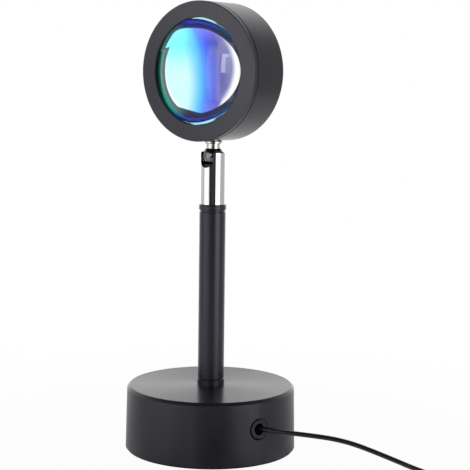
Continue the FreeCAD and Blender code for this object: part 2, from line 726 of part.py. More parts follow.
# --------------------------------------------------------------------------------------------
# Head: +Z of each piece runs back from the front face, and +Y points down at the stem
# --------------------------------------------------------------------------------------------
def make_head():
    shell = turned("head_shell", [
        (SHELL_BORE, SHELL_FRONT),
        ("head_radius - small_edge", SHELL_FRONT),
        ("head_radius", SHELL_FRONT + " + small_edge"),
        ("head_radius", "head_depth - head_edge"),
        ("head_radius - head_edge", "head_depth"),
        ("0", "head_depth"),
        ("0", "head_depth - head_back"),
        (SHELL_BORE, "head_depth - head_back"),
    ])
    seat = sketch_on(shell, "seat_sketch", "XZ_Plane", "-(head_radius - head_seat)")
    draw_box(seat, "-head_seat_width / 2", "head_seat_width / 2",
             SKIRT_END + " + play * 2", SINK_FRONT + " - play * 2")
    pad(shell, seat, "head_seat - head_wall / 2", "stem_seat", backwards=True)
    hole = sketch_on(shell, "stem_sketch", "XZ_Plane", "-(head_radius - head_seat * 2)")
    draw_circle(hole, "0", STEM_DEPTH, "thread_radius + play * 3")
    pocket(shell, hole, "head_seat * 3", "stem_hole")
    blind = sketch_on(shell, "blind_sketch", offset="head_depth - head_back")
    draw_circle(blind, "0", "-" + SINK_SCREW_RING, "screw_radius")
    blind_hole = pocket(shell, blind, "blind_depth", "blind_hole", backwards=True)
    repeat(shell, blind_hole, "sink_screw_count")
    in_head(shell)

    bezel = turned("front_bezel", [
        (OPENING_RADIUS + " + small_edge", "0"),
        ("head_radius - bezel_edge", "0"),
        ("head_radius", "bezel_edge"),
        ("head_radius", "bezel_depth"),
        ("head_radius - seam_depth", "bezel_depth"),
        ("head_radius - seam_depth", SHELL_FRONT),
        (SHELL_BORE + " - play", SHELL_FRONT),
        (SHELL_BORE + " - play", SKIRT_END),
        (SKIRT_BORE, SKIRT_END),
        (SKIRT_BORE, "bezel_lip"),
        (OPENING_RADIUS, "bezel_lip"),
        (OPENING_RADIUS, "small_edge"),
    ])
    in_head(bezel)

    lens = turned("lens", [
        ("0", "dome_rise + lens_flange"),
        ("0", "0"),
        (DOME_RADIUS, "dome_rise", "arc"),
        (LENS_RADIUS, "dome_rise"),
        (LENS_RADIUS, "dome_rise + lens_flange"),
    ])
    in_head(lens, "bezel_lip - dome_rise")

    film = turned("colour_filter", [
        ("0", "0"), (LENS_RADIUS, "0"), (LENS_RADIUS, "filter_thickness"), ("0", "filter_thickness"),
    ])
    in_head(film, FILTER_FRONT)
    gasket = ring("lens_gasket", LENS_RADIUS, LENS_RADIUS + " - gasket_width", "gasket_thickness")
    in_head(gasket, GASKET_FRONT)
    retainer = ring("retaining_ring", RING_RADIUS, RING_BORE, "ring_thickness")
    notch = sketch_on(retainer, "notch_sketch")
    draw_box(notch, RING_BORE + " - ring_notch", RING_BORE + " + ring_notch / 2",
             "-ring_notch / 2", "ring_notch / 2")
    cut = pocket(retainer, notch, "ring_thickness", "notch", backwards=True)
    repeat(retainer, cut, "2")
    in_head(retainer, RING_FRONT)

    mouth = RING_BORE + " - reflector_margin"
    reflector = turned("reflector", [
        (mouth, "0"),
        (SKIRT_BORE + " - clearance", "0"),
        (SKIRT_BORE + " - clearance", "reflector_wall"),
        (mouth, "reflector_wall"),
        ("reflector_narrow", "reflector_length + reflector_wall"),
        ("reflector_narrow", "reflector_length"),
    ])
    in_head(reflector, SKIRT_END)

    board = turned("led_board", [
        ("0", "0"), ("board_radius", "0"), ("board_radius", "board_thickness"), ("0", "board_thickness"),
    ])
    holes = sketch_on(board, "hole_sketch")
    draw_circle(holes, "board_screw_ring", "0", "screw_radius + play")
    repeat(board, pocket(board, holes, "board_thickness", "screw_hole", backwards=True), "2")
    in_head(board, BOARD_FRONT)

    chip = new_body("led_chip")
    square = sketch_on(chip, "square")
    draw_box(square, "-chip_width / 2", "chip_width / 2", "-chip_width / 2", "chip_width / 2")
    pad(chip, square, "chip_height")
    in_head(chip, CHIP_FRONT)

    face = [("0", "sink_thickness"), ("0", "0")]
    for number in range(SIZES["sink_groove_count"]):
        inner = "sink_first_groove + sink_groove_pitch * %d" % number
        outer = inner + " + sink_groove_width"
        face += [(inner, "0"), (inner, "sink_groove_depth"), (outer, "sink_groove_depth"), (outer, "0")]
    sink = turned("heat_sink", face + [(SINK_RADIUS, "0"), (SINK_RADIUS, "sink_thickness")])
    low = sketch_on(sink, "board_hole_sketch")
    draw_circle(low, "board_screw_ring", "0", "screw_radius + play")
    repeat(sink, pocket(sink, low, "sink_thickness - small_edge * 2", "board_hole", backwards=True), "2")
    wide = sketch_on(sink, "screw_hole_sketch")
    draw_circle(wide, "0", "-" + SINK_SCREW_RING, "screw_radius + play")
    repeat(sink, pocket(sink, wide, "sink_thickness", "screw_hole", backwards=True), "sink_screw_count")
    in_head(sink, SINK_FRONT)

    shank, head, tall = "screw_radius - play", "small_screw_head", "small_screw_head_height"
    board_screw = screw_solid(shank, head, tall, "board_screw_length")
    group = copies("board_screws", board_screw, [
        Placement(turned_to(size("board_screw_ring"), angle), Rotation()) for angle in (0, 180)])
    group.Placement = Placement(head_point(BOARD_FRONT + " - " + tall), HEAD_TURN)
    sink_screw = screw_solid(shank, head, tall, tall + " + sink_thickness + blind_depth - play * 4")
    turns = [-90 + 360 * n / SIZES["sink_screw_count"] for n in range(SIZES["sink_screw_count"])]
    group = copies("sink_screws", sink_screw, [
        Placement(turned_to(size(SINK_SCREW_RING), angle), Rotation()) for angle in turns])
    group.Placement = Placement(head_point(SINK_FRONT + " - " + tall), HEAD_TURN)


def head_point(depth):
    """The point on the head's axis at a depth behind its front face."""
    return Vector(0, size(depth + " - " + STEM_DEPTH), size(HEAD_HEIGHT))


# --------------------------------------------------------------------------------------------
# Gland and clamp that hold the cord in the base
# --------------------------------------------------------------------------------------------
def make_gland():
    blank = new_body("grommet_blank")
    back = "(" + BASE_TOP_RADIUS + " - base_wall - gland_flange_thickness - clearance * 3)"
    web = "(" + back + " - small_edge * 2)"
    profile = sketch_on(blank, "outline", "XZ_Plane")
    draw_outline(profile, [
        (web, "gland_web_bore"),
        (web + " + gland_web", "gland_web_bore"),
        (web + " + gland_web", "gland_hole"),
        ("base_foot_radius + base_wall", "gland_hole"),
        ("base_foot_radius + base_wall", "gland_radius"),
        (back + " + gland_flange_thickness", "gland_radius"),
        (back + " + gland_flange_thickness", "gland_flange"),
        (back, "gland_flange"),
        (web, "gland_radius"),
    ])
    turn(blank, profile, axis="H_Axis")
    move(blank, z="gland_height")
    hull = doc.addObject("Part::Cone", "base_outside")
    hull.setExpression("Radius1", bound("base_foot_radius"))
    hull.setExpression("Radius2", bound(BASE_TOP_RADIUS))
    hull.setExpression("Height", bound("base_height - base_bevel - pad_thickness"))
    hull.setExpression("Placement.Base.z", bound("pad_thickness"))
    grommet = doc.addObject("Part::Common", "cord_grommet")
    grommet.Label = "cord_grommet"
    grommet.Base = blank
    grommet.Tool = hull
    doc.recompute()
    grommet.Placement = Placement(Vector(), GLAND_TURN)
    nodes.pop("grommet_blank")
    nodes["cord_grommet"] = grommet

    groove = CORD_RADIUS + " + play"
    saddle = new_body("clamp_saddle")
    block = sketch_on(saddle, "block")
    draw_box(block, CLAMP_START, CLAMP_END, "-clamp_width / 2", "clamp_width / 2")
    pad(saddle, block, "gland_height - " + WEIGHT_TOP + " - play * 2")
    channel = sketch_on(saddle, "channel", "YZ_Plane")
    draw_circle(channel, "0", "gland_height - " + WEIGHT_TOP, groove)
    pocket(saddle, channel, "weight_radius * 2", "cord_channel", both=True)
    clamp_holes(saddle, "gland_height")
    in_base(saddle, WEIGHT_TOP)

    bar = new_body("clamp_bar")
    block = sketch_on(bar, "block", offset="play * 2")
    draw_box(block, CLAMP_START, CLAMP_END, "-clamp_width / 2", "clamp_width / 2")
    pad(bar, block, "clamp_bar")
    channel = sketch_on(bar, "channel", "YZ_Plane")
    draw_circle(channel, "0", "0", groove)
    pocket(bar, channel, "weight_radius * 2", "cord_channel", both=True)
    clamp_holes(bar, "clamp_bar * 4")
    in_base(bar, "gland_height")

    screw = screw_solid("clamp_screw_radius", "clamp_screw_head", "clamp_screw_head_height",
                        "clamp_screw_head_height + clamp_bar + clamp_screw_grip")
    middle, half = size(CLAMP_MIDDLE), size("clamp_screw_pitch / 2")
    upside_down = Rotation(Vector(1, 0, 0), 180)
    group = copies("clamp_screws", screw, [
        Placement(Vector(middle, side * half, 0), upside_down) for side in (-1, 1)])
    top = size("gland_height + play * 2 + clamp_bar + clamp_screw_head_height")
    group.Placement = Placement(Vector(0, 0, top), GLAND_TURN)


def clamp_holes(body, depth):
    """The two screw holes beside the cord."""
    holes = sketch_on(body, "screw_sketch")
    for side in ("-", ""):
        draw_circle(holes, CLAMP_MIDDLE, side + "clamp_screw_pitch / 2", "clamp_screw_radius + play")
    pocket(body, holes, depth, "screw_holes", backwards=True)


# --------------------------------------------------------------------------------------------
# Cord: straight runs joined by tangent arcs, through points chosen by hand
# --------------------------------------------------------------------------------------------
SWITCH_AT = (157.0, -18.0)
PLUG_AT = (76.0, -54.0)
PLUG_HEADING = 202.0
COIL_AT = (126.0, -66.0)

LEAD_POINTS = [
    (23.51, -8.51, 19.0), (43.25, -15.66, 19.0), (62.9, -7.2, 18.2), (80.9, 4.4, 15.6), (98.0, 14.2, 8.6),
    (115.5, 20.6, 2.2), (132.5, 18.6, 1.25), (145.2, 10.6, 1.6), (153.6, 1.2, 3.4), (157.0, -8.5, 5.0),
    (157.0, -18.0, 5.0),
]
MIDDLE_POINTS = [
    (157.0, -64.0, 5.0), (157.0, -74.0, 5.0), (152.0, -83.2, 2.8), (141.5, -86.6, 1.25), (130.5, -85.4, 1.25),
]
TAIL_POINTS = [
    (107.3, -59.5, 8.75), (106.2, -49.6, 6.4), (96.4, -44.6, 4.0), (85.27, -50.25, 3.9), (76.0, -54.0, 3.9),
]
CORNER_SHARE = 0.45


def run_path(points):
    """The cord's centreline as edges, with the length and the tightest radius."""
    spots = [Vector(*point) for point in points]
    edges, radii = [], []
    start = spots[0]
    for before, corner, after in zip(spots, spots[1:], spots[2:]):
        came, goes = corner - before, after - corner
        reach = CORNER_SHARE * min(came.Length, goes.Length)
        half_turn = came.getAngle(goes) / 2
        radius = reach / math.tan(half_turn)
        radii.append(radius)
        enter = corner - came.normalize() * reach
        leave = corner + goes.normalize() * reach
        inward = (leave + enter) * 0.5 - corner
        to_arc = radius / math.cos(half_turn) - radius
        middle = corner + inward.normalize() * to_arc
        edges.append(Part.LineSegment(start, enter).toShape())
        edges.append(Part.Arc(enter, middle, leave).toShape())
        start = leave
    edges.append(Part.LineSegment(start, spots[-1]).toShape())
    return edges, sum(edge.Length for edge in edges), radii


def tube(points, radius, name):
    """A round tube along the path, its volume checked against section times length."""
    edges, length, radii = run_path(points)
    spine = Part.Wire(edges)
    start = Vector(*points[0])
    circle = Part.Circle(start, Vector(*points[1]) - start, radius)
    solid = spine.makePipeShell([Part.Wire(circle.toShape())], True, True)
    expected = math.pi * radius ** 2 * length
    print("%s: %.1f mm long, radii %s, volume %.4f of expected" % (
        name, length, " ".join("%.1f" % value for value in radii), solid.Volume / expected))
    return solid


def make_cord():
    radius = size(CORD_RADIUS)
    made("cord_lead", tube(LEAD_POINTS, radius, "cord_lead"))
    made("cord_middle", tube(MIDDLE_POINTS, radius, "cord_middle"))
    made("cord_tail", tube(TAIL_POINTS, radius, "cord_tail"))

    corner = "cord_diameter / 2"
    coil = turned("cord_coil", [
        (COIL_INNER + " + " + corner, "0"),
        (COIL_OUTER + " - " + corner, "0"),
        (COIL_OUTER, corner),
        (COIL_OUTER, COIL_TOP + " - " + corner),
        (COIL_OUTER + " - " + corner, COIL_TOP),
        (COIL_INNER + " + " + corner, COIL_TOP),
        (COIL_INNER, COIL_TOP + " - " + corner),
        (COIL_INNER, corner),
    ])
    move(coil, x=str(COIL_AT[0]), y=str(COIL_AT[1]))

    tie = new_body("coil_tie")
    inner, outer, top = COIL_INNER + " - clearance", COIL_OUTER + " + clearance", COIL_TOP + " + clearance"
    loop = sketch_on(tie, "loop", "XZ_Plane")
    draw_box(loop, inner + " - tie_thickness", outer + " + tie_thickness", "0", top + " + tie_thickness")
    draw_box(loop, inner, outer, "tie_thickness", top)
    band = pad(tie, loop, "tie_width")
    band.Midplane = True
    doc.recompute()
    round_edges(tie, "tie_thickness - play * 2", outside_tie)
    move(tie, x=str(COIL_AT[0]), y=str(COIL_AT[1]))


def outside_tie(edge):
    """True for the four outer corner edges of the tie's loop."""
    if not is_along(edge, Vector(0, 1, 0)):
        return False
    spot = edge.CenterOfMass
    low = size(COIL_INNER + " - clearance - tie_thickness")
    high = size(COIL_OUTER + " + clearance + tie_thickness")
    return min(abs(spot.x - low), abs(spot.x - high)) < 1e-3


def make_wires():
    """The two feed wires, from the cord's end in the clamp up to the lamp board."""
    radius, apart = size("wire_diameter / 2"), size("wire_diameter / 2 + play / 2")
    bend, start = size("wire_bend"), Vector(*LEAD_POINTS[0])
    along = GLAND_TURN.multVec(Vector(1, 0, 0))
    side = GLAND_TURN.multVec(Vector(0, 1, 0))
    rise_to = size(BALL_HEIGHT + " - wire_end_below_ball")
    inside = bend * (1 - math.sqrt(0.5))
    strands = []
    for sign in (-1, 1):
        shift = side * (sign * apart)
        level = along * bend + Vector(0, 0, start.z) + shift
        upright = Vector(0, 0, start.z + bend) + shift
        middle = along * inside + Vector(0, 0, start.z + inside) + shift
        spine = Part.Wire([
            Part.LineSegment(start + shift, level).toShape(),
            Part.Arc(level, middle, upright).toShape(),
            Part.LineSegment(upright, Vector(shift.x, shift.y, rise_to)).toShape(),
        ])
        circle = Part.Circle(start + shift, along, radius)
        strands.append(spine.makePipeShell([Part.Wire(circle.toShape())], True, True))
    made("feed_wires", Part.makeCompound(strands))

    foot, head = size(BALL_HEIGHT + " + head_wire_start"), size(HEAD_HEIGHT)
    board_front = size(BOARD_FRONT + " - " + STEM_DEPTH)
    route = [
        (0, foot), (0, foot + size("head_wire_rise")),
        (board_front / 2, head - size("head_wire_turn")), (board_front - radius, head - size("head_wire_end")),
    ]
    strands = []
    for sign in (-1, 1):
        points = [(sign * apart, y, z) for y, z in route]
        strands.append(tube(points, radius, "head_wires"))
    made("head_wires", Part.makeCompound(strands))


# --------------------------------------------------------------------------------------------
# Switch on the cord: its own +X runs along the cord, from the lamp's side to the plug's side
# --------------------------------------------------------------------------------------------
SWITCH_TURN = Rotation(Vector(0, 0, 1), -90)


def in_switch(piece, z="0"):
    """Put a piece in the switch, where the lead from the lamp meets it."""
    move(piece, x=str(SWITCH_AT[0]), y=str(SWITCH_AT[1]), z=z, rotation=SWITCH_TURN)


def switch_half(label, height, chosen_edges):
    """One half of the switch's case: a tray with rounded corners, open towards +Z."""
    body = new_body(label)
    plan = sketch_on(body, "plan")
    draw_box(plan, "0", "switch_length", "-switch_width / 2", "switch_width / 2")
    pad(body, plan, height)
    round_edges(body, "switch_corner", lambda edge: is_along(edge, Vector(0, 0, 1)))
    round_edges(body, "switch_edge", chosen_edges)
    hollow = sketch_on(body, "hollow", offset="switch_wall")
    draw_box(hollow, "switch_wall * 2", "switch_length - switch_wall * 2",
             "-switch_width / 2 + switch_wall * 2", "switch_width / 2 - switch_wall * 2")
    pocket(body, hollow, height, "hollow", backwards=True)
    posts = sketch_on(body, "posts")
    for middle in ("switch_post_inset", "switch_length - switch_post_inset"):
        draw_circle(posts, middle, "0", "switch_post")
    pad(body, posts, height + " - play", "posts")
    return body


def on_floor(edge):
    """True for the edges that lie in the tray's bottom face."""
    return edge.BoundBox.ZMax < 1e-3


def make_switch():
    lower = switch_half("switch_lower_case", SWITCH_MIDDLE, on_floor)
    head = ("head", "case_screw_head + play * 3", "case_screw_head_height + clearance")
    shank = ("shank", "case_screw_radius + play * 3", "switch_height")
    for purpose, radius, depth in (head, shank):
        holes = sketch_on(lower, purpose + "_sketch")
        for middle in ("switch_post_inset", "switch_length - switch_post_inset"):
            draw_circle(holes, middle, "0", radius)
        pocket(lower, holes, depth, "screw_" + purpose, backwards=True)
    in_switch(lower)

    upper = switch_half("switch_upper_case", SWITCH_MIDDLE, on_floor)
    hole = sketch_on(upper, "button_sketch")
    draw_circle(hole, "switch_length / 2", "0", "button_radius + button_gap")
    pocket(upper, hole, "switch_height", "button_hole", backwards=True)
    pilots = sketch_on(upper, "pilot_sketch", offset=SWITCH_MIDDLE)
    for middle in ("switch_post_inset", "switch_length - switch_post_inset"):
        draw_circle(pilots, middle, "0", "case_screw_radius + play")
    pocket(upper, pilots, "switch_height / 2 - switch_wall * 2", "pilot_holes")
    over = SWITCH_TURN.multiply(Rotation(Vector(1, 0, 0), 180))
    move(upper, x=str(SWITCH_AT[0]), y=str(SWITCH_AT[1]), z="switch_height", rotation=over)

    button_foot = "(switch_height - switch_wall - play * 2 - button_flange_height)"
    button_top = "(switch_height + button_rise - " + button_foot + ")"
    button = turned("switch_button", [
        ("0", "0"),
        ("button_radius + button_flange", "0"),
        ("button_radius + button_flange", "button_flange_height"),
        ("button_radius", "button_flange_height"),
        ("button_radius", button_top + " - button_edge"),
        ("button_radius - button_edge", button_top),
        ("button_dish_radius", button_top),
        ("0", button_top + " - button_dish", "arc"),
    ])
    move(button, x=str(SWITCH_AT[0]), y=str(SWITCH_AT[1]) + " - switch_length / 2", z=button_foot)

    board = new_body("switch_board")
    plan = sketch_on(board, "plan")
    draw_box(plan, "(switch_length - switch_board_length) / 2", "(switch_length + switch_board_length) / 2",
             "-switch_board_width / 2", "switch_board_width / 2")
    pad(board, plan, "switch_board_thickness")
    in_switch(board, "switch_wall")

    module = new_body("switch_module")
    plan = sketch_on(module, "plan")
    draw_box(plan, "(switch_length - module_width) / 2", "(switch_length + module_width) / 2",
             "-module_width / 2", "module_width / 2")
    pad(module, plan, "module_height")
    plunger = sketch_on(module, "plunger")
    draw_circle(plunger, "switch_length / 2", "0", "plunger_radius")
    module_foot = "(switch_wall + switch_board_thickness)"
    pad(module, plunger, button_foot + " - button_travel - plunger_gap - " + module_foot, "plunger_pad")
    in_switch(module, module_foot)

    screw = screw_solid("case_screw_radius", "case_screw_head", "case_screw_head_height", "case_screw_length")
    group = copies("switch_screws", screw, [
        Placement(Vector(x, 0, 0), Rotation())
        for x in (size("switch_post_inset"), size("switch_length - switch_post_inset"))])
    group.Placement = Placement(Vector(SWITCH_AT[0], SWITCH_AT[1], size("clearance - play")), SWITCH_TURN)


# --------------------------------------------------------------------------------------------
# Plug: its own +X runs out of the plug's nose, and its origin is where the cord ends
# --------------------------------------------------------------------------------------------
PLUG_TURN = Rotation(Vector(0, 0, 1), PLUG_HEADING)


def in_plug(piece):
    """Put a piece of the plug at the cord's end, level with the grip's middle."""
    move(piece, x=str(PLUG_AT[0]), y=str(PLUG_AT[1]), z=GRIP_MIDDLE, rotation=PLUG_TURN)


def make_plug():
    grip = new_body("plug_grip")
    side = sketch_on(grip, "side", "YZ_Plane", "boot_length")
    draw_box(side, "-grip_width / 2", "grip_width / 2", "-grip_height / 2", "grip_height / 2")
    pad(grip, side, "grip_length")
    round_edges(grip, "grip_edge", lambda edge: is_along(edge, Vector(1, 0, 0)))
    boot = sketch_on(grip, "boot", "XZ_Plane")
    draw_outline(boot, [
        ("0", "0"),
        ("boot_length + boot_neck", "0"),
        ("boot_length + boot_neck", "boot_radius"),
        ("boot_length", "boot_radius"),
        ("boot_length - boot_neck", "boot_neck_radius"),
        ("0", "boot_tip_radius"),
    ])
    turn(grip, boot, "boot_turned", axis="H_Axis")
    in_plug(grip)

    shell = new_body("plug_shell")
    section = sketch_on(shell, "section", "YZ_Plane", PLUG_NOSE)
    draw_box(section, "-plug_width / 2", "plug_width / 2", "-plug_height / 2", "plug_height / 2")
    draw_box(section, "-plug_width / 2 + plug_wall", "plug_width / 2 - plug_wall",
             "-plug_height / 2 + plug_wall", "plug_height / 2 - plug_wall")
    pad(shell, section, "plug_length")
    windows = sketch_on(shell, "windows")
    near = PLUG_NOSE + " + window_setback"
    for middle in ("-window_spacing / 2", "window_spacing / 2"):
        draw_box(windows, near, near + " + window_width",
                 middle + " - window_width / 2", middle + " + window_width / 2")
    pocket(shell, windows, "plug_height * 2", "window_cut", both=True)
    in_plug(shell)

    insert = new_body("plug_insert")
    section = sketch_on(insert, "section", "YZ_Plane", PLUG_NOSE)
    draw_box(section, "-plug_width / 2 + plug_wall + play", "plug_width / 2 - plug_wall - play",
             "-plug_height / 2 + plug_wall + play", "-contact_thickness")
    pad(insert, section, "plug_length - insert_setback")
    in_plug(insert)

    strip = Part.makeBox(size("contact_length"), size("contact_width"), size("contact_thickness"))
    start, low = size(PLUG_NOSE + " + contact_setback"), -size("contact_thickness")
    spots = ["-contact_outer", "-contact_inner", "contact_inner", "contact_outer"]
    group = copies("plug_contacts", strip, [
        Placement(Vector(start, size(spot + " - contact_width / 2"), low), Rotation()) for spot in spots])
    group.Placement = Placement(Vector(PLUG_AT[0], PLUG_AT[1], size(GRIP_MIDDLE)), PLUG_TURN)


# --------------------------------------------------------------------------------------------
# Build, check and write
# --------------------------------------------------------------------------------------------
make_base()
make_post()
make_joint()
make_head()
make_gland()
make_cord()
make_wires()
make_switch()
make_plug()
doc.recompute()

for item in doc.Objects:
    if "Invalid" in item.State or "Error" in item.State:
        raise ValueError(item.Label + " failed: " + str(item.State))
for label, piece in nodes.items():
    if piece.Shape.isNull() or not piece.Shape.isValid() or not piece.Shape.Solids:
        raise ValueError(label + " has no valid solid")
    piece.Shape.exportStep("parts/" + label + ".step")
    print("%-20s %d solid, %9.1f mm3" % (label, len(piece.Shape.Solids), piece.Shape.Volume))
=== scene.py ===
"""Looks of the sunset projection lamp: finishes, dome lens, free cord, studio and camera."""
import math

import bpy
from mathutils import Matrix, Vector


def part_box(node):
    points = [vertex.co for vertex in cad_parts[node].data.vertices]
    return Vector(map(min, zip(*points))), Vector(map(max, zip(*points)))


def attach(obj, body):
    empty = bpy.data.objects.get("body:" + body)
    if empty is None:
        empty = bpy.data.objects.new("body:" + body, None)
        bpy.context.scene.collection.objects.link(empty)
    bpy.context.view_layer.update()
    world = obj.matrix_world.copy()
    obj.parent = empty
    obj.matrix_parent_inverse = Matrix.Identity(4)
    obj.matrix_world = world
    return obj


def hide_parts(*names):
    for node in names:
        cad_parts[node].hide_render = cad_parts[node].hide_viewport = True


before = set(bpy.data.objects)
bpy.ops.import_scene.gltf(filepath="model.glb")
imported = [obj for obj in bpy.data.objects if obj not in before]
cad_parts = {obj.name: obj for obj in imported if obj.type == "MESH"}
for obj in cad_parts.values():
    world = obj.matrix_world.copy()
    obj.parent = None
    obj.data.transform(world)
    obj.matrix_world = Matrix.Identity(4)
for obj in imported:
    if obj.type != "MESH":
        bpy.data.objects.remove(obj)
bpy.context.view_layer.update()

bl_info = {
    "name": "Sunset projection lamp",
    "version": (1, 0, 0),
    "blender": (4, 5, 0),
    "location": "3D View > Sidebar > Sunset Lamp",
    "description": "Finishes, cord and studio for the sunset projection lamp",
    "category": "Object",
}

MILLIMETRE = 0.001
WHITE = (1, 1, 1)
BLACK = (0, 0, 0)
# The photograph's camera stands this far round from the lamp's front, towards +X
VIEW_AZIMUTH = math.radians(36.2)
# The dome's back stands this far off the film, so that light leaves the glass before it
GLASS_GAP = 0.15 * MILLIMETRE
# The paint's reflections are a little cooler than what they show
PAINT_SHEEN = (0.9, 0.88, 1.0, 1)


# ---------------------------------------------------------------------------------------------
# The free cord's route: the control points of its solids, in millimetres
# ---------------------------------------------------------------------------------------------
SWITCH_POINTS = [
    (23.51, -8.51, 19.0), (43.25, -15.66, 19.0), (62.9, -7.2, 18.2), (80.9, 4.4, 15.6),
    (98.0, 14.2, 8.6), (115.5, 20.6, 2.2), (132.5, 18.6, 1.25), (145.2, 10.6, 1.6),
    (153.6, 1.2, 3.4), (157.0, -8.5, 5.0), (157.0, -18.0, 5.0),
]
BEFORE_COIL_POINTS = [
    (157.0, -64.0, 5.0), (157.0, -74.0, 5.0), (152.0, -83.2, 2.8), (141.5, -86.6, 1.25),
    (130.5, -85.4, 1.25),
]
AFTER_COIL_POINTS = [
    (107.3, -59.5, 8.75), (106.2, -49.6, 6.4), (96.4, -44.6, 4.0), (85.27, -50.25, 3.9),
    (76.0, -54.0, 3.9),
]
COIL_CENTRE = (126.0, -66.0)
COIL_TURNS = 14
# Turns side by side in a layer, and full layers under the loose turns
COIL_COLUMNS = 4
COIL_LAYERS = 3
# Control points to a turn, and the share of their radius at which the spline passes them
COIL_STEPS = 12
COIL_INSIDE = 0.25 * (3 + math.cos(2 * math.pi / COIL_STEPS))


# ---------------------------------------------------------------------------------------------
# Sizes and colours that a user may change
# ---------------------------------------------------------------------------------------------
def screen(red, green, blue):
    """A colour read from a screen, 0 to 255, as the linear values that shaders take."""
    linear = []
    for level in (red, green, blue):
        share = level / 255
        linear.append(share / 12.92 if share <= 0.04045 else ((share + 0.055) / 1.055) ** 2.4)
    return tuple(linear)


def scaled(colour, factor):
    """The same colour, lighter or darker."""
    return [level * factor for level in colour]


def colour_property(name, description, default):
    return bpy.props.FloatVectorProperty(
        name=name, description=description, default=default, subtype="COLOR", size=3, min=0, max=1)


def share_property(name, description, default):
    return bpy.props.FloatProperty(
        name=name, description=description, default=default, subtype="FACTOR", min=0, max=1)


class LampFinishSettings(bpy.types.PropertyGroup):
    """Colours and gloss of the lamp's paint, plastic and metal."""
    paint_colour: colour_property("Paint", "Satin black of base, post and head", screen(23, 22, 28))
    paint_gloss: share_property("Paint roughness", "How soft the paint's reflections are", 0.3)
    bezel_colour: colour_property("Bezel", "Charcoal of the ring round the lens", screen(48, 47, 54))
    # Painted light: the ring's face blends into this lighter charcoal towards its upper right, where the
    # studio's light falls
    bezel_painted_light: colour_property("Bezel, light side", "Charcoal at its upper right", screen(84, 83, 86))
    bezel_gloss: share_property("Bezel roughness", "How soft the ring's reflections are", 0.5)
    chrome_colour: colour_property("Chrome", "Plating of the swivel", screen(232, 233, 236))
    cord_colour: colour_property("Cord", "Sleeve of the cord", screen(27, 27, 34))
    tie_colour: colour_property("Tie", "Woven tie round the coil", screen(26, 26, 28))


class LampLensSettings(bpy.types.PropertyGroup):
    """Colours of the filter behind the lens, and the dome's shape."""
    aqua: colour_property("Aqua", "Filter colour on its upper left", screen(128, 248, 252))
    pale: colour_property("Pale cyan", "Filter colour on its lower left", screen(208, 254, 255))
    sky: colour_property("Sky", "Filter colour in its middle", screen(106, 203, 253))
    blue: colour_property("Blue", "Filter colour right of its middle", screen(84, 142, 252))
    violet: colour_property("Violet", "Filter colour on its right", screen(80, 98, 234))
    plum: colour_property("Plum", "Darkest filter colour on its right", screen(92, 94, 184))
    lilac: colour_property("Lilac", "Filter colour at its right edge", screen(146, 148, 208))
    purple: colour_property("Purple", "Tint of the right side, above and below", screen(160, 150, 250))
    # The rim's colours are painted reflections of the studio, which the film gives off as a glow; its
    # bright line is a painted highlight
    rim_blue: colour_property("Rim blue", "Deep blue of the filter's rim", screen(44, 56, 186))
    rim_green: colour_property("Rim green", "Pale teal of the rim's left side", screen(118, 150, 146))
    rim_teal: colour_property("Rim teal", "Teal above and below the rim's left side", screen(34, 156, 142))
    rim_navy: colour_property("Rim navy", "Dark teal of the rim's right side", screen(17, 50, 82))
    rim_light: colour_property("Rim light", "Bright line round the rim", screen(164, 232, 244))
    dome_rise: bpy.props.FloatProperty(
        name="Dome rise", description="Height of the dome over its flange", default=0.008,
        subtype="DISTANCE", unit="LENGTH")
    dome_margin: bpy.props.FloatProperty(
        name="Flange", description="Width of the lens's flat flange", default=0.0014,
        subtype="DISTANCE", unit="LENGTH")


class LampCordSettings(bpy.types.PropertyGroup):
    """Sizes of the cord and its coil."""
    diameter: bpy.props.FloatProperty(
        name="Diameter", description="Across the round cord", default=0.0025,
        subtype="DISTANCE", unit="LENGTH")
    inner_turn: bpy.props.FloatProperty(
        name="Innermost turn", description="Radius of the coil's innermost turn", default=0.01075,
        subtype="DISTANCE", unit="LENGTH")


class LampStudioSettings(bpy.types.PropertyGroup):
    """Levels of the white tent round the lamp."""
    tent_level: bpy.props.FloatProperty(
        name="Tent", description="Brightness of the tent's white walls", default=1.0, min=0, max=4)
    floor_colour: colour_property("Floor", "Colour of the pale floor", screen(232, 232, 232))


# ---------------------------------------------------------------------------------------------
# Shader nodes written as expressions
# ---------------------------------------------------------------------------------------------
class Signal:
    """A shader socket that can be added, subtracted, multiplied and divided."""

    def __init__(self, finish, socket):
        self.finish = finish
        self.socket = socket

    def joined(self, operation, first, second):
        return self.finish.node("ShaderNodeMath", {"operation": operation}, {0: first, 1: second})

    def __add__(self, other):
        return self.joined("ADD", self, other)

    def __radd__(self, other):
        return self.joined("ADD", other, self)

    def __sub__(self, other):
        return self.joined("SUBTRACT", self, other)

    def __rsub__(self, other):
        return self.joined("SUBTRACT", other, self)

    def __mul__(self, other):
        return self.joined("MULTIPLY", self, other)

    def __rmul__(self, other):
        return self.joined("MULTIPLY", other, self)

    def __truediv__(self, other):
        return self.joined("DIVIDE", self, other)

    def __rtruediv__(self, other):
        return self.joined("DIVIDE", other, self)

    def rise(self, low, high):
        """0 up to low and 1 from high on, smooth between them."""
        return self.finish.node(
            "ShaderNodeMapRange", {"interpolation_type": "SMOOTHSTEP"},
            {"Value": self, "From Min": low, "From Max": high})


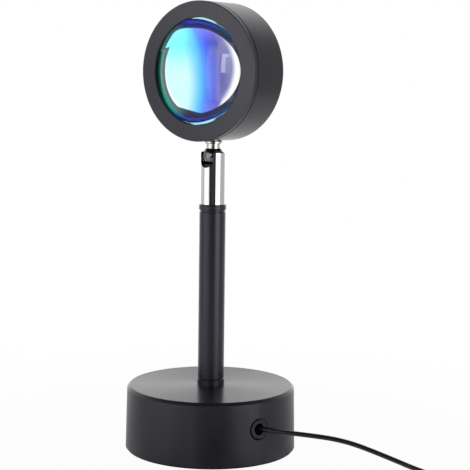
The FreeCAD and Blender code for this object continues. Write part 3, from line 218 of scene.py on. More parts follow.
class Finish:
    """One node tree, a material's or the world's, made node by node."""

    def __init__(self, tree):
        self.tree = tree
        tree.nodes.clear()

    def node(self, kind, settings=None, sockets=None, output=0):
        """A new node: its settings first, then its sockets' values and links."""
        made = self.tree.nodes.new(kind)
        for name, value in (settings or {}).items():
            if name == "stops":
                self.set_stops(made.color_ramp, value)
            else:
                setattr(made, name, value)
        for name, value in (sockets or {}).items():
            if isinstance(value, Signal):
                self.tree.links.new(value.socket, made.inputs[name])
            else:
                made.inputs[name].default_value = value
        return Signal(self, made.outputs[output]) if made.outputs else None

    def set_stops(self, ramp, stops):
        """Gives a colour ramp its (position, colour) stops."""
        while len(ramp.elements) < len(stops):
            ramp.elements.new(1)
        for element, (position, colour) in zip(ramp.elements, stops):
            element.position = position
            element.color = (*colour, 1)

    def place(self):
        """The point on the surface, in the lamp's own frame, in metres."""
        return self.node("ShaderNodeTexCoord", output="Object")

    def axis(self, place, name):
        return self.node("ShaderNodeSeparateXYZ", {}, {"Vector": place}, output=name)

    def dot(self, first, second):
        return self.node(
            "ShaderNodeVectorMath", {"operation": "DOT_PRODUCT"}, {0: first, 1: second}, output="Value")

    def radius(self, place, centre=(0, 0, 0), across="XY"):
        """Distance from an upright axis, or from one along Y where across is XZ."""
        flat = {"XY": (1, 1, 0), "XZ": (1, 0, 1)}[across]
        offset = self.node("ShaderNodeVectorMath", {"operation": "SUBTRACT"}, {0: place, 1: centre})
        flattened = self.node("ShaderNodeVectorMath", {"operation": "MULTIPLY"}, {0: offset, 1: flat})
        return self.node("ShaderNodeVectorMath", {"operation": "LENGTH"}, {0: flattened}, output="Value")

    def noise(self, place, scale, detail=3.0, roughness=0.55):
        """Noise all over, with scale waves to a metre."""
        return self.node(
            "ShaderNodeTexNoise", {},
            {"Vector": place, "Scale": scale, "Detail": detail, "Roughness": roughness})

    def line_noise(self, value, scale, detail=2.0):
        """Noise along one measure, which draws lines across it, scale to a metre."""
        return self.node(
            "ShaderNodeTexNoise", {"noise_dimensions": "1D"},
            {"W": value, "Scale": scale, "Detail": detail})

    def larger(self, first, second):
        return self.node("ShaderNodeMath", {"operation": "MAXIMUM"}, {0: first, 1: second})

    def mix(self, share, first, second):
        """A colour between two, by a share from 0 to 1."""
        return self.node(
            "ShaderNodeMix", {"data_type": "RGBA"},
            {0: share, 6: opaque(first), 7: opaque(second)}, output=2)

    def bump(self, height):
        """A normal that follows a relief given in metres."""
        return self.node("ShaderNodeBump", {}, {"Height": height, "Distance": 1.0, "Strength": 1.0})

    def surface(self, sockets):
        """Ends a material in one Principled shader."""
        self.end(self.node("ShaderNodeBsdfPrincipled", {}, sockets))

    def end(self, shader, target="ShaderNodeOutputMaterial"):
        self.node(target, {}, {"Surface": shader})


def opaque(colour):
    """A colour with its alpha, or a signal as it is."""
    return colour if isinstance(colour, Signal) else (*tuple(colour)[:3], 1)


def new_finish(name):
    """A new material and the tree that its nodes go in."""
    material = bpy.data.materials.new(name)
    material.use_nodes = True
    return material, Finish(material.node_tree)


def give(material, *names):
    """Puts a finish on the lamp's own pieces."""
    for name in names:
        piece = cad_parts[name]
        for slot in piece.material_slots:
            slot.material = material


# ---------------------------------------------------------------------------------------------
# Finishes: patterns in waves to a metre, depths in millimetres
# ---------------------------------------------------------------------------------------------
TURNING_LINES = 2600
RING_LINES = 1400
PLATING_LINES = 4200
CASTING_LINES = 900
PAINT_GRAIN = 2600
SPARK_GRAIN = 2400
CORD_GRAIN = 1800
SMUDGES = 38
RING_CLOUDS = 45
PLASTIC_CLOUDS = 60
METAL_CLOUDS = 90
FOAM_CELLS = 1400
TIE_RIBS = 420
TIE_LOOPS = 2600
LENS_DUST = 900
FILM_RIPPLES = 55


def painted_metal(name, colour, roughness, centre=(0, 0, 0), along="Z", depth=0.005, streak=0.0):
    """Satin paint over turned metal: faint turning lines, a fine grain and uneven gloss."""
    material, finish = new_finish(name)
    place = finish.place()
    across = {"Z": "XY", "Y": "XZ"}[along]
    measure = finish.axis(place, along) + finish.radius(place, centre, across)
    turned = finish.line_noise(measure, TURNING_LINES, 3.0)
    grain = finish.noise(place, PAINT_GRAIN)
    smudge = finish.noise(place, SMUDGES, 2.0)
    worn = smudge.rise(0.3, 0.7) * 0.3 + turned.rise(0.3, 0.8) * 0.4
    finish.surface({
        "Base Color": finish.mix(worn, colour, scaled(colour, 1.5)),
        "Roughness": roughness + (smudge - 0.5) * 0.08 + (turned - 0.5) * 0.1,
        "Normal": finish.bump((turned * depth + grain * 0.004) * MILLIMETRE),
        "IOR": 1.5,
        "Specular Tint": PAINT_SHEEN,
        "Anisotropic": streak,
        "Anisotropic Rotation": 0.25,
    })
    return material


def moulded(name, colour, roughness, grain=SPARK_GRAIN, depth=0.008):
    """Moulded plastic or rubber: a fine spark texture and slight clouding."""
    material, finish = new_finish(name)
    place = finish.place()
    texture = finish.noise(place, grain, 2.0, 0.6)
    cloud = finish.noise(place, PLASTIC_CLOUDS, 2.0)
    finish.surface({
        "Base Color": finish.mix(cloud.rise(0.3, 0.7) * 0.4, colour, scaled(colour, 1.25)),
        "Roughness": roughness + (texture - 0.5) * 0.12,
        "Normal": finish.bump(texture * (depth * MILLIMETRE)),
        "IOR": 1.48,
    })
    return material


def metal(name, colour, roughness, lines=PLATING_LINES, depth=0.002, across="XY"):
    """Turned or plated metal: fine lines and faint clouding."""
    material, finish = new_finish(name)
    place = finish.place()
    measure = finish.radius(place, across=across) + finish.axis(place, "Z")
    turned = finish.line_noise(measure, lines)
    cloud = finish.noise(place, METAL_CLOUDS)
    finish.surface({
        "Base Color": finish.mix(cloud.rise(0.35, 0.75) * 0.5, colour, scaled(colour, 0.86)),
        "Metallic": 1.0,
        "Roughness": roughness + (cloud - 0.5) * 0.06 + (turned - 0.5) * 0.04,
        "Normal": finish.bump(turned * (depth * MILLIMETRE)),
    })
    return material


def foam(name, colour):
    """Dense foam with open cells."""
    material, finish = new_finish(name)
    place = finish.place()
    cells = finish.node(
        "ShaderNodeTexVoronoi", {}, {"Vector": place, "Scale": FOAM_CELLS}, output="Distance")
    finish.surface({
        "Base Color": finish.mix(cells.rise(0.1, 0.6), scaled(colour, 0.6), colour),
        "Roughness": 0.95 - cells * 0.1,
        "Normal": finish.bump(cells * (0.12 * MILLIMETRE)),
        "IOR": 1.4,
    })
    return material


def woven(name, colour):
    """A woven tie: ribs across and loops between them."""
    material, finish = new_finish(name)
    place = finish.place()
    ribs = finish.node(
        "ShaderNodeTexWave", {"bands_direction": "Y"}, {"Vector": place, "Scale": TIE_RIBS})
    loops = finish.noise(place, TIE_LOOPS, 2.0)
    weave = ribs * 0.6 + loops * 0.4
    finish.surface({
        "Base Color": finish.mix(weave, scaled(colour, 0.6), scaled(colour, 1.6)),
        "Roughness": 0.9 - loops * 0.15,
        "Normal": finish.bump(weave * (0.15 * MILLIMETRE)),
        "IOR": 1.4,
    })
    return material


# ---------------------------------------------------------------------------------------------
# Operators: one for each group of pieces
# ---------------------------------------------------------------------------------------------
class LampView(bpy.types.Operator):
    """Set the camera at the photograph's place."""
    bl_idname = "sunset_lamp.view"
    bl_label = "Camera"

    place = (0.4134, -0.5649, 0.197)
    # Turns away from the azimuth, downwards and about the line of sight, in radians
    yaw, pitch, roll = 0.0172, 0.1175, 0.0128
    lens = 102.0

    def execute(self, context):
        forward = Vector((
            math.sin(self.yaw) * math.cos(self.pitch),
            math.cos(self.yaw) * math.cos(self.pitch),
            -math.sin(self.pitch)))
        right = Vector((math.cos(self.yaw), -math.sin(self.yaw), 0))
        up = right.cross(forward)
        across = right * math.cos(self.roll) + up * math.sin(self.roll)
        upward = up * math.cos(self.roll) - right * math.sin(self.roll)
        turn = Matrix((across, upward, -forward)).transposed()
        data = bpy.data.cameras.new("photo_camera")
        data.lens = self.lens
        camera = bpy.data.objects.new("photo_camera", data)
        context.scene.collection.objects.link(camera)
        whole = Matrix.Rotation(VIEW_AZIMUTH, 3, "Z") @ turn
        camera.matrix_world = Matrix.Translation(self.place) @ whole.to_4x4()
        context.scene.camera = camera
        return {"FINISHED"}


def ramp(value, start, length):
    """0 up to start, 1 from start + length on, and straight between them."""
    return max(0.0, min(1.0, (value - start) / length))


def coil_points(inner_turn, diameter):
    """The wound coil: layers of side-by-side turns, and a loose turn or two on top."""
    inner, cord = inner_turn / MILLIMETRE, diameter / MILLIMETRE
    full_turns, last = COIL_LAYERS * COIL_COLUMNS, COIL_COLUMNS - 1
    points = []
    for index in range(1, COIL_TURNS * COIL_STEPS + COIL_STEPS // 4):
        turn, step = divmod(index, COIL_STEPS)
        layer, column = divmod(turn, COIL_COLUMNS)
        # A turn steps over to the next one near its end, and the last of a layer climbs instead
        stepped, climbed = ramp(step, COIL_STEPS - 2, 2), 0.0
        if column == last:
            stepped, climbed = 0.0, ramp(step, COIL_STEPS - 4, 2)
        along = column + stepped
        if turn >= full_turns:
            loose = index / COIL_STEPS - full_turns
            layer, climbed = COIL_LAYERS, 0.0
            along = min(last, last * loose / (COIL_TURNS - full_turns + 0.25))
        radius = inner + cord * (last - along if layer % 2 == 0 else along)
        height = cord * (layer + climbed) + cord / 2
        angle = -math.pi / 2 - 2 * math.pi * index / COIL_STEPS
        points.append((
            COIL_CENTRE[0] + radius / COIL_INSIDE * math.cos(angle),
            COIL_CENTRE[1] + radius / COIL_INSIDE * math.sin(angle),
            height))
    return points


def cord_line(name, points, diameter):
    """A smooth cord along control points given in millimetres."""
    line = bpy.data.curves.new(name, "CURVE")
    line.dimensions = "3D"
    spline = line.splines.new("NURBS")
    spline.points.add(len(points) - 1)
    for spot, point in zip(spline.points, points):
        spot.co = (*(Vector(point) * MILLIMETRE), 1)
    spline.order_u = 3
    spline.use_endpoint_u = True
    spline.resolution_u = 6
    line.bevel_depth = diameter / 2
    line.bevel_resolution = 5
    line.use_fill_caps = True
    cord = bpy.data.objects.new(name, line)
    bpy.context.scene.collection.objects.link(cord)
    return cord


class LampCord(bpy.types.Operator):
    """Lay the cord: base to switch, then switch to coil to plug."""
    bl_idname = "sunset_lamp.cord"
    bl_label = "Cord"

    def execute(self, context):
        cord = context.scene.sunset_lamp_cord
        look = context.scene.sunset_lamp_finish
        sleeve = moulded("cord_sleeve", look.cord_colour, 0.3, grain=CORD_GRAIN, depth=0.004)
        lamp_side = cord_line("cord_to_switch", SWITCH_POINTS, cord.diameter)
        plug_side = cord_line(
            "cord_to_plug",
            BEFORE_COIL_POINTS + coil_points(cord.inner_turn, cord.diameter) + AFTER_COIL_POINTS,
            cord.diameter)
        for line in (lamp_side, plug_side):
            line.data.materials.append(sleeve)
            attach(line, "root")
        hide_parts("cord_lead")
        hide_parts("cord_middle", "cord_coil", "cord_tail")
        return {"FINISHED"}


class LampPaint(bpy.types.Operator):
    """Paint the base, the post and the head."""
    bl_idname = "sunset_lamp.paint"
    bl_label = "Painted parts"

    def execute(self, context):
        look = context.scene.sunset_lamp_finish
        paint, gloss = look.paint_colour, look.paint_gloss
        low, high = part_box("head_shell")
        head = (low + high) / 2
        # Painted light: the base and the post take the head's paint made 1.5 and 2 times lighter, as lit
        # copies of one paint
        base = painted_metal("base_paint", scaled(paint, 1.5), gloss, depth=0.008, streak=0.6)
        post = painted_metal("post_paint", scaled(paint, 2.0), gloss, streak=0.4)
        give(base, "base_shell")
        give(post, "lower_collar", "post_tube", "upper_collar")
        give(painted_metal("head_paint", paint, gloss, head, "Y"), "head_shell")
        give(self.ring_paint(look, head), "front_bezel", "retaining_ring")
        return {"FINISHED"}

    def ring_paint(self, look, head):
        """Matt charcoal on the ring's face with painted light towards its upper right, a painted highlight
        mottled like wear along its outer edge, and the head's black on its side.
        """
        low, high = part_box("front_bezel")
        reach = (high.x - low.x) / 2
        material, finish = new_finish("bezel_paint")
        place = finish.place()
        radius = finish.radius(place, head, "XZ")
        depth = finish.axis(place, "Y") - low.y
        turned = finish.line_noise(radius + depth, RING_LINES, 3.0)
        cloud = finish.noise(place, RING_CLOUDS, 2.0)
        grain = finish.noise(place, SPARK_GRAIN)
        right = finish.axis(place, "X") - head.x
        above = finish.axis(place, "Z") - head.z
        # Painted light: the face grows lighter towards its upper right, where the studio's light falls
        light = (right * 0.5 + above * 0.3).rise(-reach * 0.7, reach * 0.5)
        face = finish.mix(light, look.bezel_colour, look.bezel_painted_light)
        mottled = cloud.rise(0.3, 0.7) * 0.35 + turned * 0.15
        face = finish.mix(mottled, face, scaled(look.bezel_colour, 1.8))
        # Painted highlight, mottled like wear: the face is lighter along its outer edge, where the edge
        # catches the light
        edge = (radius - reach).rise(-0.8 * MILLIMETRE, -0.3 * MILLIMETRE)
        edge = edge * (1 - depth.rise(0.3 * MILLIMETRE, 0.6 * MILLIMETRE))
        face = finish.mix(edge * (0.45 + cloud * 0.4), face, scaled(look.bezel_colour, 3.0))
        side = depth.rise(0.5 * MILLIMETRE, 0.9 * MILLIMETRE)
        finish.surface({
            "Base Color": finish.mix(side, face, look.paint_colour),
            "Roughness": look.bezel_gloss - side * 0.15 + (turned - 0.5) * 0.1,
            "Normal": finish.bump((turned * 0.012 + grain * 0.008) * MILLIMETRE),
            "IOR": 1.5,
            "Specular Tint": PAINT_SHEEN,
        })
        return material


class LampSwivel(bpy.types.Operator):
    """Plate the slotted sleeve, the ball and the stem."""
    bl_idname = "sunset_lamp.swivel"
    bl_label = "Swivel"

    def execute(self, context):
        look = context.scene.sunset_lamp_finish
        give(metal("chrome_plate", look.chrome_colour, 0.06), "swivel_sleeve")
        give(metal("stem_plate", screen(218, 217, 212), 0.2), "swivel_stem")
        # Painted reflection: the ball is chrome made dark, standing for the dark surroundings that it
        # mirrors
        give(metal("ball_chrome_painted_dark", screen(118, 118, 120), 0.1), "swivel_ball")
        return {"FINISHED"}


def select_only(piece):
    """Selects one object and makes it the active one."""
    bpy.ops.object.select_all(action="DESELECT")
    piece.select_set(True)
    bpy.context.view_layer.objects.active = piece


def select_faces(piece, chosen):
    """Selects the faces for which chosen(face) is true, in edit mode."""
    bpy.ops.mesh.select_all(action="DESELECT")
    bpy.ops.object.mode_set(mode="OBJECT")
    for face in piece.data.polygons:
        face.select = chosen(face)
    bpy.ops.object.mode_set(mode="EDIT")
    bpy.ops.mesh.select_mode(type="FACE")


def model_dome(rise, margin):
    """The dome lens: a cap cut from a ball, its flat flange and its flat back."""
    low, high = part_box("lens")
    middle = (low + high) / 2
    flange = (high.x - low.x) / 2
    reach = flange - margin
    ball = (reach ** 2 + rise ** 2) / (2 * rise)
    rim = low.y + rise
    bpy.ops.object.select_all(action="DESELECT")
    bpy.ops.mesh.primitive_uv_sphere_add(
        segments=96, ring_count=180, radius=ball, location=(middle.x, low.y + ball, middle.z),
        rotation=(math.pi / 2, 0, 0))
    dome = bpy.context.object
    dome.name = "dome_lens"
    bpy.ops.object.transform_apply(location=True, rotation=True, scale=True)
    bpy.ops.object.mode_set(mode="EDIT")
    bpy.ops.mesh.select_all(action="SELECT")
    bpy.ops.mesh.bisect(
        plane_co=(middle.x, rim, middle.z), plane_no=(0, 1, 0), use_fill=True, clear_outer=True)
    select_faces(dome, lambda face: face.normal.y > 0.99)
    bpy.ops.mesh.extrude_region_move()
    grow = flange / reach
    bpy.ops.transform.resize(value=(grow, 1, grow), center_override=(middle.x, rim, middle.z))
    bpy.ops.mesh.extrude_region_move(
        TRANSFORM_OT_translate={"value": (0, high.y - GLASS_GAP - rim, 0)})
    bpy.ops.mesh.select_all(action="SELECT")
    bpy.ops.mesh.normals_make_consistent(inside=False)
    bpy.ops.object.mode_set(mode="OBJECT")
    select_only(dome)
    bpy.ops.object.shade_smooth_by_angle(angle=math.radians(20))
    return dome


class LampLens(bpy.types.Operator):
    """Model the glass dome and give the filter behind it its colours."""
    bl_idname = "sunset_lamp.lens"
    bl_label = "Lens and filter"

    # The coloured disc, in shares of the film's radius: its middle, its half width and half
    # height, how much lower it gets to the right, how far it runs out at its upper left, and the
    # width of the rim round it
    disc_right, disc_up = 0.035, 0.01
    disc_half_width, disc_half_height, egg = 0.822, 0.7412, 0.75
    run_out_width = 0.13
    rim_width = 0.3
    # How far the colours' borders lean to the left upwards, and bow to the left above and below
    lean, bow = 0.12, 0.3
    # Painted shade over the disc: how dark it is up to the middle of its height, and at its top
    dimness, dimness_at_top = 0.3, 0.05
    dust_colour = (0.8, 0.85, 0.9)
    rim_ground = (0.002, 0.003, 0.006)

    def execute(self, context):
        look = context.scene.sunset_lamp_lens
        dome = model_dome(look.dome_rise, look.dome_margin)
        dome.data.materials.append(self.glass())
        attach(dome, "head")
        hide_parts("lens")
        give(self.film(look), "colour_filter")
        give(moulded("gasket_rubber", screen(12, 46, 44), 0.6), "lens_gasket")
        return {"FINISHED"}

    def spread(self, finish, place):
        """How far right and how far up a point lies on the filter, in shares of its radius."""
        low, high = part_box("colour_filter")
        middle = (low + high) / 2
        reach = (high.x - low.x) / 2
        across = (finish.axis(place, "X") - middle.x) / reach
        height = (finish.axis(place, "Z") - middle.z) / reach
        return across, height

    def glass(self):
        """Clear glass that bends light a little and shines most on its right."""
        material, finish = new_finish("dome_glass")
        place = finish.place()
        dust = finish.noise(place, LENS_DUST, 2.0).rise(0.62, 0.8)
        across, height = self.spread(finish, place)
        shine = across.rise(0.3, 0.4) * (1 - across.rise(0.68, 0.78))
        shine = shine * (1 - (height * height).rise(0.22, 0.3))
        finish.surface({
            "Base Color": finish.mix(dust * 0.04, WHITE, self.dust_colour),
            "Roughness": 0.0,
            "Transmission Weight": 1.0,
            "IOR": 1.12,
            "Coat Weight": 0.06 + shine * 0.94,
            "Coat Roughness": 0.02,
            "Coat IOR": 1.65,
        })
        return material

    def film(self, look):
        """A mirror film: a disc of colours with painted white highlights at its edges and painted shade,
        and a glowing rim of painted reflections, deep blue.
        """
        material, finish = new_finish("filter_film")
        place = finish.place()
        across, height = self.spread(finish, place)
        oval = self.oval_of(finish, across, height)
        right_highlight, left_highlight = self.painted_white_highlights(oval, across, height)
        disc = self.disc_colours(finish, place, across, height, look)
        # Painted highlights: the disc turns white at its right edge and its lower left
        disc = finish.mix(right_highlight + left_highlight * 0.85, disc, WHITE)
        # Painted shade: the disc is darker everywhere except near its top
        dim = self.dimness - height.rise(0.4, 0.8) * (self.dimness - self.dimness_at_top)
        disc = finish.mix(dim, disc, BLACK)
        outside = finish.larger(oval.rise(0.99, 1.02), self.cut_corners(across, height))
        rim = self.rim_of(finish, (oval - 1.0) / self.rim_width, across, height, look)
        finish.surface({
            "Base Color": finish.mix(outside, disc, self.rim_ground),
            "Metallic": 1 - outside,
            "Roughness": 0.04 + outside * 0.3,
            "Specular IOR Level": 0.1,
            # Painted glow: the rim's painted reflections and the white highlight at the right give off
            # light, though the film is no lamp
            "Emission Color": finish.mix(outside, finish.mix(right_highlight * 0.45, BLACK, WHITE), rim),
            "Emission Strength": 1.0,
        })
        return material

    def oval_of(self, finish, across, height):
        """0 in the disc's middle and 1 on its edge, which runs out towards the upper left."""
        aside = across - self.disc_right
        above = height - self.disc_up
        wide = aside * aside * (1 / self.disc_half_width ** 2)
        tall = above * above * (aside * self.egg + 1 / self.disc_half_height ** 2)
        oval = finish.node("ShaderNodeMath", {"operation": "SQRT"}, {0: wide + tall})
        run_out = (height - across * 0.4).rise(0.7, 0.75) * (0 - across).rise(0.1, 0.75)
        return oval - run_out * self.run_out_width

    def cut_corners(self, across, height):
        """1 where the disc is cut off straight, at its lower right and at its lower left."""
        lower_right = (across * 0.625 - height).rise(0.866, 0.884)
        lower_left = (0 - height - across * 0.2155).rise(0.73, 0.755)
        return lower_right + lower_left

    def painted_white_highlights(self, oval, across, height):
        """Painted white highlights: the crescents inside the disc's right edge and its lower left one."""
        above = height + 0.06
        right = (oval - above * above * 0.5).rise(0.75, 0.93) * across.rise(0.35, 0.5)
        low_left = (0 - height * 0.8 - across).rise(0.7, 1.15)
        left = (oval + low_left * 0.05).rise(0.96, 1.01) * (0 - across).rise(0.3, 0.5)
        return right, left * (0.3 - height).rise(0.0, 0.1)

    def disc_colours(self, finish, place, across, height, look):
        """The disc's colours from left to right, paler low down and purple above and below."""
        ripple = (finish.noise(place, FILM_RIPPLES, 1.0) - 0.5) * 0.05
        run = across + ripple + height * self.lean + height * height * self.bow
        run = run * 0.5 + 0.5
        upper = self.colour_run(finish, run, look.aqua, look)
        lower = self.colour_run(finish, run, look.pale, look)
        disc = finish.mix(height.rise(-0.1, 0.55), lower, upper)
        purple = (height.rise(0.5, 0.8) + (0 - height).rise(0.45, 0.65)) * run.rise(0.5, 0.62)
        return finish.mix(purple * 0.35, disc, look.purple)

    def colour_run(self, finish, run, first, look):
        """The disc's colours, by a run from 0 on its left to 1 on its right."""
        return finish.node("ShaderNodeValToRGB", {"stops": [
            (0.0, first), (0.36, first), (0.485, look.sky), (0.56, look.blue),
            (0.63, look.violet), (0.735, look.plum), (0.83, look.lilac)]}, {0: run})

    def rim_of(self, finish, step, across, height, look):
        """Painted reflections that make up the rim, from the disc's edge (step 0) to the bezel (step 1),
        with painted shade below and a painted highlight round it.
        """
        rim = finish.node("ShaderNodeValToRGB", {"stops": [
            (0.0, screen(52, 54, 110)), (0.16, screen(32, 34, 84)), (0.32, screen(16, 24, 104)),
            (0.5, look.rim_blue), (0.63, screen(8, 26, 104)), (0.74, screen(2, 22, 72)),
            (1.0, screen(10, 56, 84))]}, {0: step})
        left = finish.node("ShaderNodeValToRGB", {"stops": [
            (0.0, screen(66, 104, 100)), (0.25, screen(86, 116, 112)), (0.42, look.rim_green),
            (0.55, screen(24, 96, 84)), (0.8, screen(10, 50, 46)), (1.0, screen(6, 24, 24))]}, {0: step})
        right = finish.node("ShaderNodeValToRGB", {"stops": [
            (0.0, screen(44, 48, 70)), (0.26, screen(30, 40, 62)), (0.42, look.rim_navy),
            (0.6, screen(20, 64, 114)), (0.8, screen(12, 52, 84)), (1.0, screen(24, 60, 76))]}, {0: step})
        # Painted shade: the rim is darker below
        shade_below = (0 - height).rise(0.3, 0.6) * (1 - step.rise(0.35, 0.6))
        rim = finish.mix(shade_below * 0.6, rim, screen(18, 22, 36))
        ends = (height * height).rise(0.06, 0.2) * step.rise(0.2, 0.4) * (1 - step.rise(0.5, 0.7))
        left = finish.mix(ends * 0.85, left, look.rim_teal)
        bearing = across / (across * across + height * height + 0.001)
        rim = finish.mix((0 - bearing).rise(0.4, 0.85), rim, left)
        rim = finish.mix(bearing.rise(0.3, 0.6), rim, right)
        # A painted highlight, a bright line, runs round the rim, wide at the top and the bottom and thin
        # elsewhere
        beside = across - 0.05
        crown = 1 - (beside * beside).rise(0.03, 0.1)
        wide_line = step.rise(0.74, 0.8) * (1 - step.rise(0.94, 1.0)) * crown
        thin_line = step.rise(0.74, 0.8) * (1 - step.rise(0.82, 0.88)) * (1 - (0 - across).rise(0.3, 0.6))
        return finish.mix(wide_line + thin_line * 0.35, rim, look.rim_light)


class LampHeadInside(bpy.types.Operator):
    """Finish the light source and the cooling inside the head."""
    bl_idname = "sunset_lamp.head_inside"
    bl_label = "Inside the head"

    def execute(self, context):
        give(moulded("reflector_plastic", screen(236, 236, 232), 0.4), "reflector")
        give(moulded("lamp_board", screen(226, 228, 226), 0.5), "led_board")
        give(moulded("lamp_chip", screen(238, 206, 70), 0.45), "led_chip")
        give(metal("sink_aluminium", screen(196, 198, 202), 0.35, across="XZ"), "heat_sink")
        give(moulded("wire_rubber", screen(34, 34, 36), 0.55), "feed_wires", "head_wires")
        give(metal("screw_steel", screen(188, 188, 190), 0.28),
             "cover_screws", "clamp_screws", "rod_washer", "rod_nut", "friction_springs", "stem_nut",
             "board_screws", "sink_screws", "switch_screws")
        return {"FINISHED"}


class LampBaseInside(bpy.types.Operator):
    """Finish the weight, the cover, the pad and the fastenings of the base."""
    bl_idname = "sunset_lamp.base_inside"
    bl_label = "Under and inside the base"

    def execute(self, context):
        give(foam("pad_foam", screen(40, 40, 42)), "base_pad")
        give(metal("cover_steel", screen(176, 178, 180), 0.34), "base_cover", "threaded_rod")
        give(metal("cast_iron", screen(96, 94, 92), 0.6, lines=CASTING_LINES, depth=0.03),
             "counterweight")
        give(self.grommet_paint(), "cord_grommet")
        give(moulded("clamp_plastic", screen(28, 28, 30), 0.5),
             "clamp_saddle", "clamp_bar", "friction_seat")
        return {"FINISHED"}

    # Where the bush's outer edge lies, in squared shares of the radius of its hidden flange
    bush_edge = (0.45, 0.53)

    def grommet_paint(self):
        """Moulded ring whose outer edge sinks into shadow on the side away from the cord."""
        low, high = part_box("cord_grommet")
        reach = (high.z - low.z) / 2
        start = Vector(SWITCH_POINTS[0]) * MILLIMETRE
        ahead = (Vector(SWITCH_POINTS[1]) * MILLIMETRE - start).normalized()
        beside = (-ahead.y, ahead.x, 0)
        material, finish = new_finish("grommet_plastic")
        place = finish.place()
        along = (finish.dot(place, beside) - start.x * beside[0] - start.y * beside[1]) / reach
        above = (finish.axis(place, "Z") - (low.z + high.z) / 2) / reach
        shadow = (along * along + above * above).rise(*self.bush_edge) * (0 - along).rise(-0.35, 0.15)
        grain = finish.noise(place, SPARK_GRAIN)
        finish.surface({
            "Base Color": finish.mix(shadow, screen(24, 22, 31), screen(8, 8, 12)),
            "Metallic": shadow,
            "Roughness": 0.4 + shadow * 0.3 + (grain - 0.5) * 0.1,
            "Normal": finish.bump(grain * (0.008 * MILLIMETRE)),
            "IOR": 1.46,
        })
        return material


class LampSwitch(bpy.types.Operator):
    """Finish the switch on the cord."""
    bl_idname = "sunset_lamp.switch"
    bl_label = "Switch"

    def execute(self, context):
        give(moulded("switch_case", screen(28, 28, 30), 0.45),
             "switch_lower_case", "switch_upper_case", "switch_module")
        give(moulded("switch_cap", screen(44, 44, 47), 0.35), "switch_button")
        give(moulded("switch_card", screen(30, 96, 56), 0.4), "switch_board")
        return {"FINISHED"}


class LampPlug(bpy.types.Operator):
    """Finish the plug and the tie round the coil."""
    bl_idname = "sunset_lamp.plug"
    bl_label = "Plug and tie"

    def execute(self, context):
        look = context.scene.sunset_lamp_finish
        give(moulded("plug_rubber", screen(26, 26, 28), 0.5), "plug_grip")
        give(metal("plug_nickel", screen(206, 206, 208), 0.16), "plug_shell")
        give(moulded("plug_white", screen(228, 228, 226), 0.45), "plug_insert")
        give(metal("contact_gold", screen(236, 190, 92), 0.2), "plug_contacts")
        give(woven("tie_weave", look.tie_colour), "coil_tie")
        return {"FINISHED"}


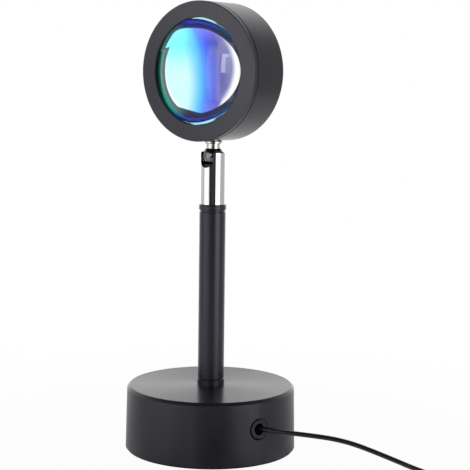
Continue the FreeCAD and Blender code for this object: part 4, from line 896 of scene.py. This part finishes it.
class LampStudio(bpy.types.Operator):
    """Set the pale floor and the white tent that lights the lamp."""
    bl_idname = "sunset_lamp.studio"
    bl_label = "Studio"

    floor_radius = 0.5
    # Brightness of the tent's walls by bearing from the camera, in degrees to its right. The
    # camera's opening is dark, and the walls beside it are the brightest
    walls = [
        (-180, 1.36), (-160, 1.48), (-130, 0.75), (-92, 0.52), (-73, 1.5), (-55, 1.6), (-38, 1.05),
        (-35, 1.05), (-31, 0.02), (10, 0.05), (18, 0.02), (24, 0.02), (28, 2.0), (48, 2.8), (62, 2.6),
        (70, 0.53), (118, 0.5), (137, 1.0), (160, 1.48), (180, 1.36),
    ]
    # Soft lamps: bearing from the camera and elevation, each from and to, in degrees, and brightness
    windows = [(-31, -26, -1, 21, 4.2), (-26, -17, -1, 17, 1.0), (-26, -17, 17, 21, 4.2)]
    # The walls end in a dark ceiling, higher behind the lamp than in front. Its heights are sines
    # of the elevation, and the change from front to rear lies between the two bearings
    front_ceiling, rear_ceiling, ceiling_level = (0.38, 0.55), (0.8, 0.92), 0.06
    rear_from, rear_to = math.radians(105), math.radians(125)
    # How white the floor is by itself: seen near the lamp, and mirrored in the lamp, near and far.
    # Both grow between these distances from the lamp's middle, in metres
    seen_near, mirrored_near, mirrored_far = 0.965, 0.3, 0.85
    seen_growth, mirrored_growth = (0.08, 0.3), (0.1, 0.26)

    def execute(self, context):
        studio = context.scene.sunset_lamp_studio
        self.lay_floor(studio)
        self.hang_tent(context, studio)
        context.scene.view_settings.view_transform = "Standard"
        return {"FINISHED"}

    def lay_floor(self, studio):
        """A pale card that keeps the lamp's shadow and mirrors as the tent's walls do."""
        bpy.ops.object.select_all(action="DESELECT")
        bpy.ops.mesh.primitive_circle_add(vertices=96, radius=self.floor_radius, fill_type="NGON")
        floor = bpy.context.object
        floor.name = "floor"
        material, finish = new_finish("floor_card")
        place = finish.place()
        radius = finish.radius(place)
        matte = finish.node("ShaderNodeBsdfDiffuse", {}, {"Color": opaque(studio.floor_colour)})
        seen = finish.node("ShaderNodeLightPath", output="Is Camera Ray")
        mirrored = finish.node("ShaderNodeLightPath", output="Is Glossy Ray")
        sheen = finish.mix(0.62, self.walls_at(finish, self.turn_of(finish, place)), WHITE)
        glow = finish.node(
            "ShaderNodeEmission", {}, {"Color": finish.mix(mirrored, WHITE, sheen), "Strength": 1.0})
        seen_far = radius.rise(*self.seen_growth)
        far = radius.rise(*self.mirrored_growth)
        white = seen * (self.seen_near + seen_far * (1 - self.seen_near))
        white = white + mirrored * (self.mirrored_near + far * (self.mirrored_far - self.mirrored_near))
        finish.end(finish.node("ShaderNodeMixShader", {}, {0: white, 1: matte, 2: glow}))
        floor.data.materials.append(material)

    def hang_tent(self, context, studio):
        """Bright walls with soft lamps and a dark ceiling, and plain white for the camera."""
        world = bpy.data.worlds.new("tent")
        world.use_nodes = True
        context.scene.world = world
        finish = Finish(world.node_tree)
        heading = finish.node("ShaderNodeTexCoord", output="Generated")
        turn = self.turn_of(finish, heading)
        height = finish.axis(heading, "Z")
        walls = self.walls_at(finish, turn)
        rear = (turn * turn).rise(self.rear_from ** 2, self.rear_to ** 2)
        ceiling = height.rise(*self.front_ceiling) * (1 - rear) + height.rise(*self.rear_ceiling) * rear
        level = finish.node(
            "ShaderNodeMix", {"data_type": "FLOAT"}, {0: ceiling, 2: walls, 3: self.ceiling_level})
        level = level * studio.tent_level
        for left, right, bottom, top, bright in self.windows:
            beside = self.between(turn, math.radians(left), math.radians(right))
            above = self.between(height, math.sin(math.radians(bottom)), math.sin(math.radians(top)))
            level = level + beside * above * bright
        lamp = finish.node("ShaderNodeBackground", {}, {"Color": opaque(WHITE), "Strength": level})
        plain = finish.node("ShaderNodeBackground", {}, {"Color": opaque(WHITE), "Strength": 1.0})
        seen = finish.node("ShaderNodeLightPath", output="Is Camera Ray")
        finish.end(
            finish.node("ShaderNodeMixShader", {}, {0: seen, 1: lamp, 2: plain}), "ShaderNodeOutputWorld")

    def turn_of(self, finish, heading):
        """Bearing from the camera, in radians to its right."""
        towards = (math.sin(VIEW_AZIMUTH), -math.cos(VIEW_AZIMUTH), 0)
        rightward = (math.cos(VIEW_AZIMUTH), math.sin(VIEW_AZIMUTH), 0)
        ahead = finish.dot(heading, towards)
        aside = finish.dot(heading, rightward)
        return finish.node("ShaderNodeMath", {"operation": "ARCTAN2"}, {0: aside, 1: ahead})

    def walls_at(self, finish, turn):
        """Brightness of the tent's wall at a bearing."""
        return finish.node("ShaderNodeValToRGB", {"stops": [
            ((bearing + 180) / 360, (level,) * 3) for bearing, level in self.walls
        ]}, {0: turn / (2 * math.pi) + 0.5})

    def between(self, value, low, high):
        """1 between two values, with soft edges."""
        soft = 0.015
        return value.rise(low - soft, low + soft) * (1 - value.rise(high - soft, high + soft))


# ---------------------------------------------------------------------------------------------
# Panel, registration and the build itself
# ---------------------------------------------------------------------------------------------
STEPS = [
    LampView, LampCord, LampPaint, LampSwivel, LampLens, LampHeadInside, LampBaseInside, LampSwitch,
    LampPlug, LampStudio,
]
SETTINGS = {
    "sunset_lamp_finish": LampFinishSettings,
    "sunset_lamp_lens": LampLensSettings,
    "sunset_lamp_cord": LampCordSettings,
    "sunset_lamp_studio": LampStudioSettings,
}


class LampPanel(bpy.types.Panel):
    """The lamp's settings and the steps that build its looks."""
    bl_idname = "VIEW3D_PT_sunset_lamp"
    bl_label = "Sunset Lamp"
    bl_space_type = "VIEW_3D"
    bl_region_type = "UI"
    bl_category = "Sunset Lamp"

    def draw(self, context):
        for name, group in SETTINGS.items():
            box = self.layout.box()
            for setting in group.__annotations__:
                box.prop(getattr(context.scene, name), setting)
        for step in STEPS:
            self.layout.operator(step.bl_idname)


def register():
    for group in SETTINGS.values():
        bpy.utils.register_class(group)
    for step in STEPS:
        bpy.utils.register_class(step)
    bpy.utils.register_class(LampPanel)
    for name, group in SETTINGS.items():
        setattr(bpy.types.Scene, name, bpy.props.PointerProperty(type=group))


def unregister():
    for name in SETTINGS:
        delattr(bpy.types.Scene, name)
    bpy.utils.unregister_class(LampPanel)
    for made in [*STEPS, *SETTINGS.values()]:
        bpy.utils.unregister_class(made)


def main():
    register()
    for step in STEPS:
        group, name = step.bl_idname.split(".")
        getattr(getattr(bpy.ops, group), name)()


if __name__ == "__main__":
    main()
